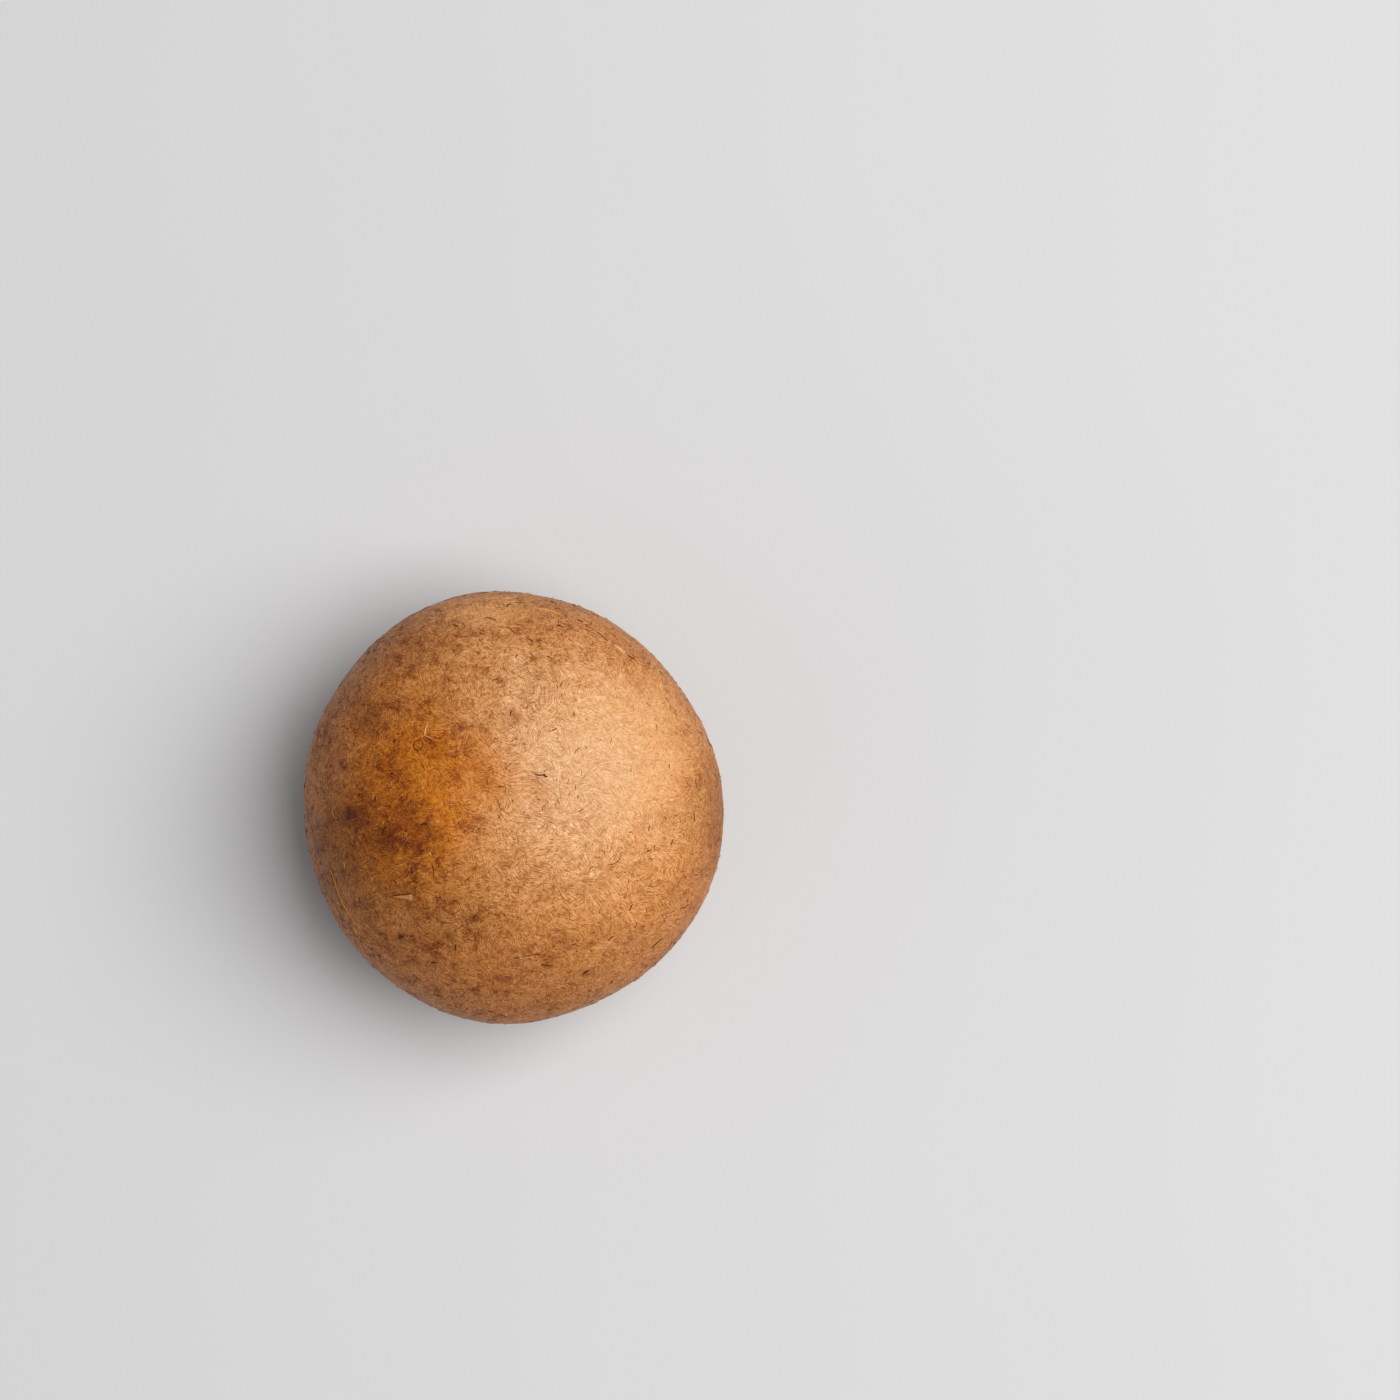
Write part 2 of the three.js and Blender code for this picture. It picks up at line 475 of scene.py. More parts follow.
# %% The fibre group
SMEAR_STEPS = 4  # samples on each side of the middle one
THREAD_CUT = (0.40, 0.60)  # what the smeared noise is between a dark thread and a light one


def make_fibre_group():
    """Threads of a width and length, whose lie strays from square to `Across` from tuft to tuft."""
    inputs = [("Place", None), ("Normal", None), ("Across", None), ("Stray", 4.0)]
    inputs += [("Width", 0.3), ("Length", 2.0), ("Tuft", 7.0)]
    group, taken, given = new_group("felted_fibres", inputs, ["Threads", "Mean"])
    slow = maths(group, "DIVIDE", 1.0, taken["Tuft"])
    fine = maths(group, "DIVIDE", 1.0, taken["Width"])
    _, drift = noise(group, taken["Place"], slow)
    strayed = vectors(group, "SCALE", vectors(group, "SUBTRACT", drift, (0.5, 0.5, 0.5)),
                      Scale=taken["Stray"])
    aim = vectors(group, "ADD", strayed, taken["Across"])
    lie = vectors(group, "NORMALIZE", vectors(group, "CROSS_PRODUCT", taken["Normal"], aim))
    stride = maths(group, "DIVIDE", taken["Length"], 2.0 * SMEAR_STEPS)
    step = vectors(group, "SCALE", lie, Scale=stride)
    total = None
    for count in range(-SMEAR_STEPS, SMEAR_STEPS + 1):
        moved = node(group, "VectorMath", {0: step, 1: (count,) * 3, 2: taken["Place"]},
                     operation="MULTIPLY_ADD").outputs[0]
        value, _ = noise(group, moved, fine)
        total = value if total is None else maths(group, "ADD", total, value)
    mean = maths(group, "DIVIDE", total, 2.0 * SMEAR_STEPS + 1)
    group.links.new(fade(group, mean, *THREAD_CUT), given["Threads"])
    group.links.new(mean, given["Mean"])
    return group


fibre_group = make_fibre_group()
print("fibre group:", len(fibre_group.nodes), "nodes")

# %% [markdown]
# ### Blotches and specks
#
# Where the skin has been handled or is older, it is browner in soft blotches a few millimetres
# across. They are a slow noise cut at a level with a soft edge, with a finer noise that frays them.
# Pinpricks of soil are the centres of scattered cells, kept only where a random number allows.

# %% The blotch group and the speck group
FRAY_FINENESS = 7.0  # how much finer the noise is that frays a blotch


def make_blotch_group():
    """A soft-edged mask: noise of a given size, frayed by a finer one and cut at a level."""
    inputs = [("Place", None), ("Size", 4.0), ("Level", 0.55), ("Softness", 0.08), ("Fray", 0.3)]
    group, taken, given = new_group("soft_blotches", inputs, ["Mask"])
    scale = maths(group, "DIVIDE", 1.0, taken["Size"])
    broad, _ = noise(group, taken["Place"], scale, detail=2.0)
    frayed, _ = noise(group, taken["Place"], maths(group, "MULTIPLY", scale, FRAY_FINENESS), detail=2.0)
    shifted = maths(group, "SUBTRACT", frayed, 0.5)
    value = maths(group, "MULTIPLY_ADD", shifted, taken["Fray"], broad)
    low = maths(group, "SUBTRACT", taken["Level"], taken["Softness"])
    high = maths(group, "ADD", taken["Level"], taken["Softness"])
    group.links.new(fade(group, value, low, high), given["Mask"])
    return group


def make_speck_group():
    """Round specks: 1 near the centres of scattered cells, for a share of the cells, else 0."""
    inputs = [("Place", None), ("Spacing", 3.0), ("Radius", 0.2), ("Share", 0.3)]
    group, taken, given = new_group("specks", inputs, ["Mask"])
    scale = maths(group, "DIVIDE", 1.0, taken["Spacing"])
    cells = node(group, "TexVoronoi", {"Vector": taken["Place"], "Scale": scale})
    reach = maths(group, "DIVIDE", taken["Radius"], taken["Spacing"])
    inner = maths(group, "MULTIPLY", reach, 0.5)
    dot = fade(group, cells.outputs["Distance"], inner, reach, 1.0, 0.0)
    luck = node(group, "SeparateColor", {0: cells.outputs["Color"]}).outputs[0]
    kept = maths(group, "LESS_THAN", luck, taken["Share"])
    group.links.new(maths(group, "MULTIPLY", dot, kept), given["Mask"])
    return group


blotch_group = make_blotch_group()
speck_group = make_speck_group()
print("effects:", [group.name for group in bpy.data.node_groups])

# %% [markdown]
# ## The cap
#
# The cap is turned like a bowl upside down: a dome a little squarer than an ellipse, a flank that
# comes back in, the rolled lip, the wall inside it and the ceiling that the gills hang from. It could
# be a subdivided sphere, but a turned grid puts even rows where the lip curves tightly. The rows are
# spaced evenly along the profile. Afterwards the skin is pushed in and out along its normal by smooth
# random fields: shallow dents from growing against its neighbours, lumps, and a leathery unevenness.

# %% The cap's profile
APEX_HEIGHT = 54.0
DOME_FULLNESS = 2.12
LIP_RADIUS = 34.8
LIP_THICKNESS = 3.6
LIP_ROLL_HEIGHT = 2.4
GILL_RIM_HEIGHT = 18.2
CEILING_RADIUS = 31.4
CEILING_RIM_HEIGHT = 24.5
CEILING_MIDDLE_HEIGHT = 29.5
CEILING_ROWS = 18
SKIN_ROWS = 208
ROLL_STEPS, FLANK_STEPS, DOME_STEPS = 60, 200, 900  # on each curve, before the rows are spaced
ROUND_COLUMNS = 432
AZIMUTH = np.linspace(0, 2 * math.pi, ROUND_COLUMNS, endpoint=False)


def dome_profile(steps):
    """Radius and height are the cosine and sine of a quarter turn, raised to 2 over the fullness."""
    turn = np.linspace(0, math.pi / 2, steps)
    radius = CAP_RADIUS * np.clip(np.cos(turn), 0, 1) ** (2 / DOME_FULLNESS)
    rise = (APEX_HEIGHT - WIDEST_HEIGHT) * np.sin(turn) ** (2 / DOME_FULLNESS)
    return np.stack([radius, WIDEST_HEIGHT + rise], axis=1)


def ceiling_height(radius):
    """The hollow's ceiling sinks from the middle to the rim with the square of the radius."""
    sink = CEILING_MIDDLE_HEIGHT - CEILING_RIM_HEIGHT
    return CEILING_MIDDLE_HEIGHT - sink * (radius / CEILING_RADIUS) ** 2


roll_centre = (LIP_RADIUS, LIP_HEIGHT + LIP_ROLL_HEIGHT)
inner_wall = np.array([[CEILING_RADIUS, CEILING_RIM_HEIGHT], [GILL_RIM_RADIUS, GILL_RIM_HEIGHT]])
roll = ellipse_arc(roll_centre, LIP_THICKNESS / 2, LIP_ROLL_HEIGHT, 180, 270, ROLL_STEPS)
flank_centre = (LIP_RADIUS, WIDEST_HEIGHT)
flank_width = CAP_RADIUS - LIP_RADIUS
flank = ellipse_arc(flank_centre, flank_width, WIDEST_HEIGHT - LIP_HEIGHT, -90, 0, FLANK_STEPS)
skin_line = np.concatenate([inner_wall, roll, flank[1:], dome_profile(DOME_STEPS)[1:]])
lip_length = length_along(np.concatenate([inner_wall, roll]))[-1]
print(f"the profile is {length_along(skin_line)[-1]:.1f} mm long, the lip is at {lip_length:.1f}")

# %% [markdown]
# The rows are turned round the axis and grown. The whole mushroom is then moved sideways, so that
# the middle of the cap's outline stands over the origin, as it does in the measured model.

# %% The cap's surface
DENTS = [(24.0, 0.16), (9.0, 0.035), (3.6, 0.02), (1.7, 0.012)]  # wavelength and height, in mm
CAP_SEED = 11


def relief(grid, waves, seed):
    """Each smooth random field times its height, added up."""
    return sum(
        height * swell(grid, wavelength, seed + order)
        for order, (wavelength, height) in enumerate(waves)
    )


ceiling_radius = np.linspace(0, CEILING_RADIUS, CEILING_ROWS + 1)[1:-1]
ceiling_line = np.stack([ceiling_radius, ceiling_height(ceiling_radius)], axis=1)
skin_rows = evenly(skin_line, SKIN_ROWS)[:-1]
cap_line = np.concatenate([ceiling_line, skin_rows])
cap_turned = grown(cap_line[:, :1], cap_line[:, 1:], AZIMUTH[None, :], 1.0)
middle = (cap_turned.max(axis=(0, 1)) + cap_turned.min(axis=(0, 1))) / 2 * [1, 1, 0]
print("the outline's middle, mm:", middle.round(3))

smooth_normals = surface_normals(cap_turned)
cap_poles = grown(np.zeros(2), np.array([CEILING_MIDDLE_HEIGHT, APEX_HEIGHT]), np.zeros(2), 1.0)
cap_grid = cap_turned + smooth_normals * relief(cap_turned, DENTS, CAP_SEED)[..., None]
cap_poles[1, 2] += relief(cap_poles[1:], DENTS, CAP_SEED)[0]
cap_grid = cap_grid - middle
cap_points, cap_faces = closed_turned(cap_grid, *(cap_poles - middle))
cap_normals = surface_normals(cap_grid)

# %% [markdown]
# ### The cap's finish
#
# The skin is a matt felt over soft patches: brown, golden, pale tan and ochre, with old and smudged
# places, browner blotches and crumbs, pale tufts, and specks of soil. Some of it is painted light:
# the pale tan is partly a painted highlight, the old place on the left flank is partly painted shade,
# and the glints and pale sparks are painted highlights on fibres. It could be painted by hand on a
# flat picture. Here it is a recipe of layers instead, because a recipe keeps its scale from near
# and from far, and each layer can be changed on its own. The next cells are one layer each.

# %% A material to start from
def new_finish(name, roughness, gloss=0.5):
    """A material with its position in millimetres, its normal and its Principled shader."""
    material = bpy.data.materials.new(name)
    material.use_nodes = True
    tree = material.node_tree
    shader = tree.nodes["Principled BSDF"]
    shader.inputs["Roughness"].default_value = roughness
    shader.inputs["Specular IOR Level"].default_value = gloss
    where = tree.nodes.new("ShaderNodeTexCoord").outputs["Object"]
    place = vectors(tree, "SCALE", where, Scale=1 / MM)
    normal = tree.nodes.new("ShaderNodeNewGeometry").outputs["Normal"]
    return material, tree, shader, place, normal


def raise_surface(tree, shader, height, depth):
    """A bump whose height of 1 stands that many millimetres proud."""
    bump = node(tree, "Bump", {"Height": height, "Distance": depth * MM, "Strength": 1.0})
    tree.links.new(bump.outputs["Normal"], shader.inputs["Normal"])


# %% [markdown]
# #### Patches
#
# Over a few centimetres the skin changes from brown to golden, pale tan or ochre. The pale tan lies
# where the window's highlight falls: partly paler skin, partly a painted highlight. The skin darkens
# in three patches. The one on the left flank, away from the window, is partly older skin and partly
# painted shade; the others lie on the right flank and south of the middle. Each patch is a ball round
# a point on the skin, 1 in its core and 0 at its reach. Slow noise is added to the distance, so that
# the edge wanders like that of a stain. A clean gradient would look airbrushed.

# %% Where the patches lie
BROWN = paint(190, 121, 58)
GOLDEN = paint(232, 163, 93)
# pale tan: partly paler skin, partly a painted highlight where the window's light falls
TAN_AND_PAINTED_HIGHLIGHT = paint(226, 172, 117)
OCHRE = paint(208, 122, 18)
OCHRE_COVER = 0.95
WEATHERED_AND_SHADED = (0.64, 0.60, 0.38)  # share of each colour left where the skin is old, and as painted shade on the left flank
FLECKED = (0.88, 0.83, 0.74)  # and between the flecks of the flecked patch
WANDER = 26.0  # how far slow noise moves a patch's edge, in mm
WANDER_FINENESS = 0.09
PATCHES = {  # middle and reach in mm, core as a share of the reach, share of the wander
    "golden": ((10.0, 4.0, 50.0), 48.0, 0.1, 1.0),
    "golden_far": ((-5.0, 36.0, 36.0), 17.0, 0.1, 0.5),
    # pale: where the window's highlight falls, partly a painted highlight
    "pale": ((11.5, 9.0, 49.5), 35.0, 0.1, 1.0),
    "ochre": ((-17.0, 4.0, 48.0), 26.0, 0.3, 1.0),
    # old: the left flank, away from the window; partly older skin, partly painted shade
    "old": ((-27.0, -7.0, 44.0), 24.0, 0.1, 1.0),
    # the next two are darker patches on the right flank and south of the middle
    "darker_right": ((42.0, -1.0, 29.0), 20.0, 0.1, 1.0),
    "darker_front": ((-9.0, -20.0, 48.0), 18.0, 0.1, 1.0),
    "calm": ((22.0, 11.0, 46.0), 22.0, 0.1, 1.0),  # where the felt is smoothest
    "flecked": ((14.0, -7.0, 51.0), 12.0, 0.3, 0.3),  # where pale flecks lie on a slightly darker ground
}
DARKER_FRONT_STRENGTH = 0.45


def patch(tree, place, wander, middle, reach, core=0.1, strayed=1.0):
    """1 in the core of a ball and 0 past its reach, with a share of the wander in the distance."""
    distance = vectors(tree, "DISTANCE", place, middle)
    away = maths(tree, "MULTIPLY_ADD", wander, strayed, distance)
    return fade(tree, away, core * reach, reach, 1.0, 0.0)


def patch_masks(tree, place, wander):
    """A mask for each patch. Golden is the larger of its two, worn and shaded the largest dark one."""
    masks = {name: patch(tree, place, wander, *values) for name, values in PATCHES.items()}
    masks["golden"] = maths(tree, "MAXIMUM", masks["golden"], masks["golden_far"])
    worn = maths(tree, "MAXIMUM", masks["old"], masks["darker_right"])
    near = times(tree, masks["darker_front"], DARKER_FRONT_STRENGTH)
    masks["worn"] = maths(tree, "MAXIMUM", worn, near)
    return masks


# %% [markdown]
# #### Smudges
#
# A few small dark smudges are left where something damp has lain. They are patches too, so one
# function serves both. Each is given by how far east and north it lies, and its height is looked up
# on the mesh, because a guessed height would put the ball beside the skin, where nothing shows.

# %% Where the smudges lie, and the patched ground
SMUDGED = (0.65, 0.57, 0.42)
SMUDGE_STRAYED = 0.06  # share of the wander, for each mm of reach
SMUDGES = [  # east, north and reach in mm
    (-26.6, 16.8, 7.0), (-31.0, -1.5, 4.0), (-23.3, -5.2, 4.5), (-20.9, -24.9, 2.2),
    (-11.2, -24.9, 1.8), (-14.4, -30.0, 2.0), (-18.0, -29.9, 1.8), (-6.0, -21.2, 1.6),
    (7.4, -30.3, 2.2), (14.8, -32.0, 1.9), (-19.1, -12.4, 1.4), (1.0, -27.5, 1.8),
    (16.0, -26.0, 1.8), (-21.5, 11.5, 2.4),
]


def spot(east, north):
    """The skin's point over a place, as the nearest of the upper grid's points."""
    upper = cap_grid[len(cap_grid) // 3 :].reshape(-1, 3)
    return tuple(upper[np.hypot(upper[:, 0] - east, upper[:, 1] - north).argmin()])


def smudge_mask(tree, place, wander):
    """The largest of the smudges' masks at each point."""
    mask = 0.0
    for east, north, reach in SMUDGES:
        one = patch(tree, place, wander, spot(east, north), reach, strayed=SMUDGE_STRAYED * reach)
        mask = maths(tree, "MAXIMUM", mask, one)
    return mask


def patched_ground(tree, place, wander, masks):
    """Brown, patch colours and painted highlight, then tints for age, painted shade, smudges and
    flecks.
    """
    ground = blend(tree, masks["golden"], BROWN, GOLDEN)
    # the pale tan patch, partly a painted highlight
    ground = blend(tree, masks["pale"], ground, TAN_AND_PAINTED_HIGHLIGHT)
    ground = blend(tree, times(tree, masks["ochre"], OCHRE_COVER), ground, OCHRE)
    # the worn and shaded mask: painted shade on the left flank, and darker patches elsewhere
    ground = tinted(tree, masks["worn"], ground, WEATHERED_AND_SHADED)
    ground = tinted(tree, smudge_mask(tree, place, wander), ground, SMUDGED)
    return tinted(tree, masks["flecked"], ground, FLECKED)


print(f"{len(PATCHES)} patches and {len(SMUDGES)} smudges")

# %% [markdown]
# #### Blotches, crumbs and tufts
#
# Inside the patches the skin is mottled: soft brown blotches from a few millimetres down to crumbs
# of half a millimetre, and small tufts of paler felt. The left side, away from the window, has more
# of them than the calm right side, and the broad blotches are strongest in the old patch there,
# where they deepen its painted shade. All five kinds come from the one blotch group, with a size
# and a level each.

# %% The mottled ground
BROWNED = (0.53, 0.35, 0.12)  # share of each colour left in a brown blotch
TUFT_LIGHT = (1.20, 1.30, 1.55)  # more than 1 makes pale tufts and flecks
BROAD_BLOTCHES = {"Size": 7.0, "Level": 0.52, "Softness": 0.12, "Fray": 0.5}
SMALL_BLOTCHES = {"Size": 2.3, "Level": 0.57, "Softness": 0.11, "Fray": 0.5}
CRUMBS = {"Size": 0.6, "Level": 0.57, "Softness": 0.07, "Fray": 0.5}
TUFTS = {"Size": 1.7, "Level": 0.59, "Softness": 0.08, "Fray": 0.7}
FLECKS = {"Size": 1.2, "Level": 0.55, "Softness": 0.06, "Fray": 0.7}
FLECK_COVER = 0.9
AGED_TO_CALM = (-15.0, 25.0)  # mm east, from where the skin's age fades to half


def aged_mask(tree, place, wander, masks):
    """A share for the calm patch, times one for how far east, times one for the golden patch."""
    east = node(tree, "SeparateXYZ", {0: place}).outputs["X"]
    in_calm = fade(tree, masks["calm"], 0.0, 0.75, 1.0, 0.2)
    in_east = fade(tree, maths(tree, "ADD", east, wander), *AGED_TO_CALM, 1.0, 0.5)
    in_golden = fade(tree, masks["golden"], 0.5, 1.0, 1.0, 0.5)
    return times(tree, times(tree, in_calm, in_east), in_golden)


def mottled_ground(tree, place, other, ground, masks):
    """Small and broad brown blotches, crumbs, tufts and flecks, each tinting what came before."""
    small = mask_of(tree, blotch_group, place, SMALL_BLOTCHES)
    small = times(tree, small, fade(tree, masks["broad"], 0.0, 1.0, 0.4, 1.0))
    ground = tinted(tree, times(tree, small, masks["aged"]), ground, BROWNED)
    broad = times(tree, masks["broad"], masks["aged"])
    # broad blotches grow with the old patch, adding to its painted shade on the left flank
    broad = times(tree, broad, fade(tree, masks["old"], 0.0, 0.8, 0.34, 0.8))
    ground = tinted(tree, broad, ground, BROWNED)
    crumbs = mask_of(tree, blotch_group, other, CRUMBS)
    crumbs = times(tree, crumbs, fade(tree, masks["aged"], 0.0, 1.0, 0.3, 0.7))
    ground = tinted(tree, crumbs, ground, BROWNED)
    tufts = mask_of(tree, blotch_group, other, TUFTS)
    tufts = times(tree, tufts, fade(tree, masks["calm"], 0.0, 1.0, 0.65, 0.45))
    ground = tinted(tree, tufts, ground, TUFT_LIGHT)
    flecks = mask_of(tree, blotch_group, place, FLECKS)
    flecks = times(tree, flecks, times(tree, masks["flecked"], FLECK_COVER))
    return tinted(tree, flecks, ground, TUFT_LIGHT)


# %% [markdown]
# #### Felt and specks
#
# Two felts lie across each other, with threads a seventh of a millimetre wide and a millimetre long.
# Dark threads dim blue most and light ones lift it most, so the darks turn warmer and the lights
# paler, as dry fibres do. One felt alone would look combed. Glints on the palest threads, the
# darkest ticks, pinpricks of soil and pale sparks are then laid on top as colours of their own; the
# glints and the sparks are painted highlights on fibres.

# %% The felted and speckled ground
FELT = {"Across": (0.7, 0.7, 0.1), "Stray": 3.6, "Width": 0.14, "Length": 1.1, "Tuft": 5.0}
CROSS_FELT = {"Across": (0.3, -1.0, 0.2), "Stray": 4.5, "Width": 0.17, "Length": 1.1, "Tuft": 3.4}
FELT_SHARE = 0.6  # of the first felt in the height, and the rest of the second
GRAIN_SHARE = 0.9
FELT_DARK = (0.67, 0.48, 0.22, 1.0)  # what the ground is multiplied by in a dark thread
FELT_LIGHT = (1.24, 1.40, 1.85, 1.0)  # and in a light one
# the colour of painted glints on the palest threads and on fibre ends
PAINTED_GLINT = paint(236, 186, 128)
SOIL = paint(62, 30, 10)
OTHER_FELT = (37.0, 11.0, 5.0)  # where in the noise the second felt is taken from, in mm
SOIL_SPECKS = {"Spacing": 4.5, "Radius": 0.25, "Share": 0.22}
# pale sparks: painted glints on fibre ends
GLINT_SPECKS = {"Spacing": 2.3, "Radius": 0.15, "Share": 0.16}
SPECK_COVER, GLINT_SPECK_COVER = 0.85, 0.6
GRAIN_FINENESS, TUFTY_FINENESS = 5.5, 0.35
DARK_TO_LIGHT = (0.2, 0.8)  # heights of the felt between which a thread turns light
TUFTY_LEVELS = (0.38, 0.62)
GLINT_LEVELS, GLINT_COVER = (0.57, 0.63), 0.45
TICK_LEVELS = (0.43, 0.37)


def felt_height(tree, place, felt, cross_felt):
    """A weighted mean of both felts' threads, plus a coarse grain less its middle value."""
    second = times(tree, cross_felt["Threads"], 1 - FELT_SHARE)
    both = maths(tree, "MULTIPLY_ADD", felt["Threads"], FELT_SHARE, second)
    grain, _ = noise(tree, place, GRAIN_FINENESS, detail=2.0, roughness=0.7)
    return maths(tree, "MULTIPLY_ADD", maths(tree, "SUBTRACT", grain, 0.5), GRAIN_SHARE, both)


def felted_ground(tree, other, ground, height, felt, cross_felt, masks):
    """The ground times its threads, less where calm, then painted glints and dark ticks."""
    threads = blend(tree, fade(tree, height, *DARK_TO_LIGHT), FELT_DARK, FELT_LIGHT)
    tufty, _ = noise(tree, other, TUFTY_FINENESS, detail=2.0)
    in_calm = fade(tree, masks["calm"], 0.0, 0.8, 1.0, 0.6)
    strength = times(tree, in_calm, fade(tree, tufty, *TUFTY_LEVELS, 0.62, 1.0))
    ground = tinted(tree, strength, ground, threads)
    # painted glints: the palest threads lit as highlights
    glint = fade(tree, cross_felt["Mean"], *GLINT_LEVELS, 0.0, GLINT_COVER)
    ground = blend(tree, glint, ground, PAINTED_GLINT)
    tick = fade(tree, felt["Mean"], *TICK_LEVELS)
    tick = times(tree, tick, fade(tree, masks["broad"], 0.0, 1.0, 0.3, 0.8))
    return blend(tree, tick, ground, SOIL)


def speckled_ground(tree, place, other, ground):
    """Specks of soil, then pale sparks as painted glints, laid over by their masks times a cover."""
    soil = mask_of(tree, speck_group, place, SOIL_SPECKS)
    ground = blend(tree, times(tree, soil, SPECK_COVER), ground, SOIL)
    glint_specks = mask_of(tree, speck_group, other, GLINT_SPECKS)
    return blend(tree, times(tree, glint_specks, GLINT_SPECK_COVER), ground, PAINTED_GLINT)


# %% [markdown]
# #### The layers together
#
# The layers are laid in turn, and the felt also raises the surface by some hundredths of a
# millimetre through a bump. Past the lip, skin gives way to pale flesh. The mesh carries the distance
# from the lip, so the change follows the margin round, and the felt frays it.

# %% The cap's skin
FLESH = paint(226, 208, 180)
LIP_FRAY = 1.6
SKIN_EDGE = (-1.6, 0.4)  # mm from the lip, between which flesh turns to skin
FELT_DEPTH = 0.028  # mm
SKIN_ROUGHNESS = (0.56, 0.46)  # between the threads and on top of them


def make_cap_finish():
    """Patches, mottling, felt and specks outside the lip, and pale flesh inside it."""
    material, tree, shader, place, normal = new_finish("cap_skin", 0.5, gloss=0.25)
    other = vectors(tree, "ADD", place, OTHER_FELT)
    slow, _ = noise(tree, place, WANDER_FINENESS, detail=4.0)
    wander = times(tree, maths(tree, "SUBTRACT", slow, 0.5), WANDER)
    masks = patch_masks(tree, place, wander)
    masks["broad"] = mask_of(tree, blotch_group, other, BROAD_BLOTCHES)
    masks["aged"] = aged_mask(tree, place, wander, masks)
    felt = fibres(tree, place, normal, FELT)
    cross_felt = fibres(tree, other, normal, CROSS_FELT)
    height = felt_height(tree, place, felt, cross_felt)

    ground = patched_ground(tree, place, wander, masks)
    ground = mottled_ground(tree, place, other, ground, masks)
    ground = felted_ground(tree, other, ground, height, felt, cross_felt, masks)
    ground = speckled_ground(tree, place, other, ground)

    uneven = maths(tree, "SUBTRACT", height, 0.5)
    frayed = maths(tree, "MULTIPLY_ADD", uneven, LIP_FRAY, carried(tree, "from_lip"))
    colour = blend(tree, fade(tree, frayed, *SKIN_EDGE), FLESH, ground)
    tree.links.new(colour, shader.inputs["Base Color"])
    tree.links.new(fade(tree, height, 0.0, 1.0, *SKIN_ROUGHNESS), shader.inputs["Roughness"])
    raise_surface(tree, shader, height, FELT_DEPTH)
    return material


cap_finish = make_cap_finish()
print("cap finish:", len(cap_finish.node_tree.nodes), "nodes")

# %% The cap as a piece
cap = add_piece("cap", cap_points, cap_faces, cap_finish)
skin_length = length_along(skin_line)[-1]
from_lip = np.interp(
    np.arange(SKIN_ROWS - 1), [0, SKIN_ROWS - 1], [-lip_length, skin_length - lip_length]
)
row_value = np.concatenate([np.full(CEILING_ROWS - 1, -lip_length), from_lip])
values = np.concatenate([np.repeat(row_value, ROUND_COLUMNS), [-lip_length, from_lip[-1]]])
carry(cap, "from_lip", values)

# %% [markdown]
# ### A flat map for the cap
#
# A finish can be baked into flat pictures, and a map says which spot of the picture belongs where.
# A map made by rule cuts the skin into many islands, and each cut could show as a seam. The cap
# brings its own map instead: a disc with the apex in the middle, most of it for the skin, and only
# its rim for the hidden wall and ceiling.

# %% The map
SKIN_SHARE = 0.90  # share of the disc's radius for the skin outside the lip
WALL_SHARE = 0.97  # and as far as the wall's top
CEILING_SHARES = (0.998, 0.973)  # from the ceiling's middle, which is the disc's rim, outwards
APEX_SHARE = 0.004
DISC_RADIUS = 0.49  # of a picture that is 1 wide


def round_map(piece, points_share):
    """Unrolls a turned piece on a disc: share of the radius times cosine and sine of the azimuth."""
    mesh = piece.data
    corner = np.empty(len(mesh.loops), np.int64)
    mesh.loops.foreach_get("vertex_index", corner)
    azimuth = np.append(np.tile(AZIMUTH, len(points_share) - 2), [0, 0])
    ring_share = np.append(np.repeat(points_share[:-2], ROUND_COLUMNS), points_share[-2:])
    turn, reach = azimuth[corner], ring_share[corner]
    fans = slice(len(corner) - 6 * ROUND_COLUMNS, None)  # two fans, three corners to a face
    fan_turn = turn[fans].reshape(-1, 3)
    step = math.pi / ROUND_COLUMNS
    fan_turn[:ROUND_COLUMNS, 0] = AZIMUTH + step  # the ceiling's middle is spread along the rim
    turn[fans] = fan_turn.ravel()
    flat = 0.5 + DISC_RADIUS * reach[:, None] * np.stack([np.cos(turn), np.sin(turn)], axis=1)
    layer = mesh.uv_layers.new(name="OFBake")
    layer.data.foreach_set("uv", flat.astype(np.float32).ravel())


map_steps = [-lip_length, 0, from_lip.max()]
map_share = np.interp(row_value, map_steps, [WALL_SHARE, SKIN_SHARE, APEX_SHARE])
map_share[: CEILING_ROWS - 1] = np.linspace(*CEILING_SHARES, CEILING_ROWS - 1)
round_map(cap, np.append(map_share, [1.0, 0.0]))
print("the map's rings run from", map_share.min().round(3), "to", map_share.max().round(3))

# %% [markdown]
# ## Loose fibres on the skin
#
# Besides the felt, some eighteen hundred single fibres stand off the skin: short curved wisps, a
# few dark with soil, most brown, and some pale and dry. A particle system could scatter them, but
# then they aren't a mesh. Instead each is a path on a flat map of the skin (distance from the apex
# along the skin, and azimuth), drawn as a thin three-sided rod that tapers at both ends. The map is
# laid back on the cap by weighting the four grid points round each place, for all fibres at once.

# %% The skin as a grid, up to the apex
def with_apex(rings, apex):
    """The skin's rings and one more, on which every point is the apex."""
    return np.concatenate([rings[CEILING_ROWS - 1 :], np.tile(apex, (1, ROUND_COLUMNS, 1))])


skin_grid = with_apex(cap_grid, cap_poles[1] - middle)
skin_normals = with_apex(cap_normals, cap_normals[-1].mean(axis=0))
skin_step = skin_length / (SKIN_ROWS - 1)
even_line = evenly(skin_line, SKIN_ROWS)
from_apex = skin_length - skin_step * np.arange(SKIN_ROWS)
print(f"the skin's rows are {skin_step:.2f} mm apart")

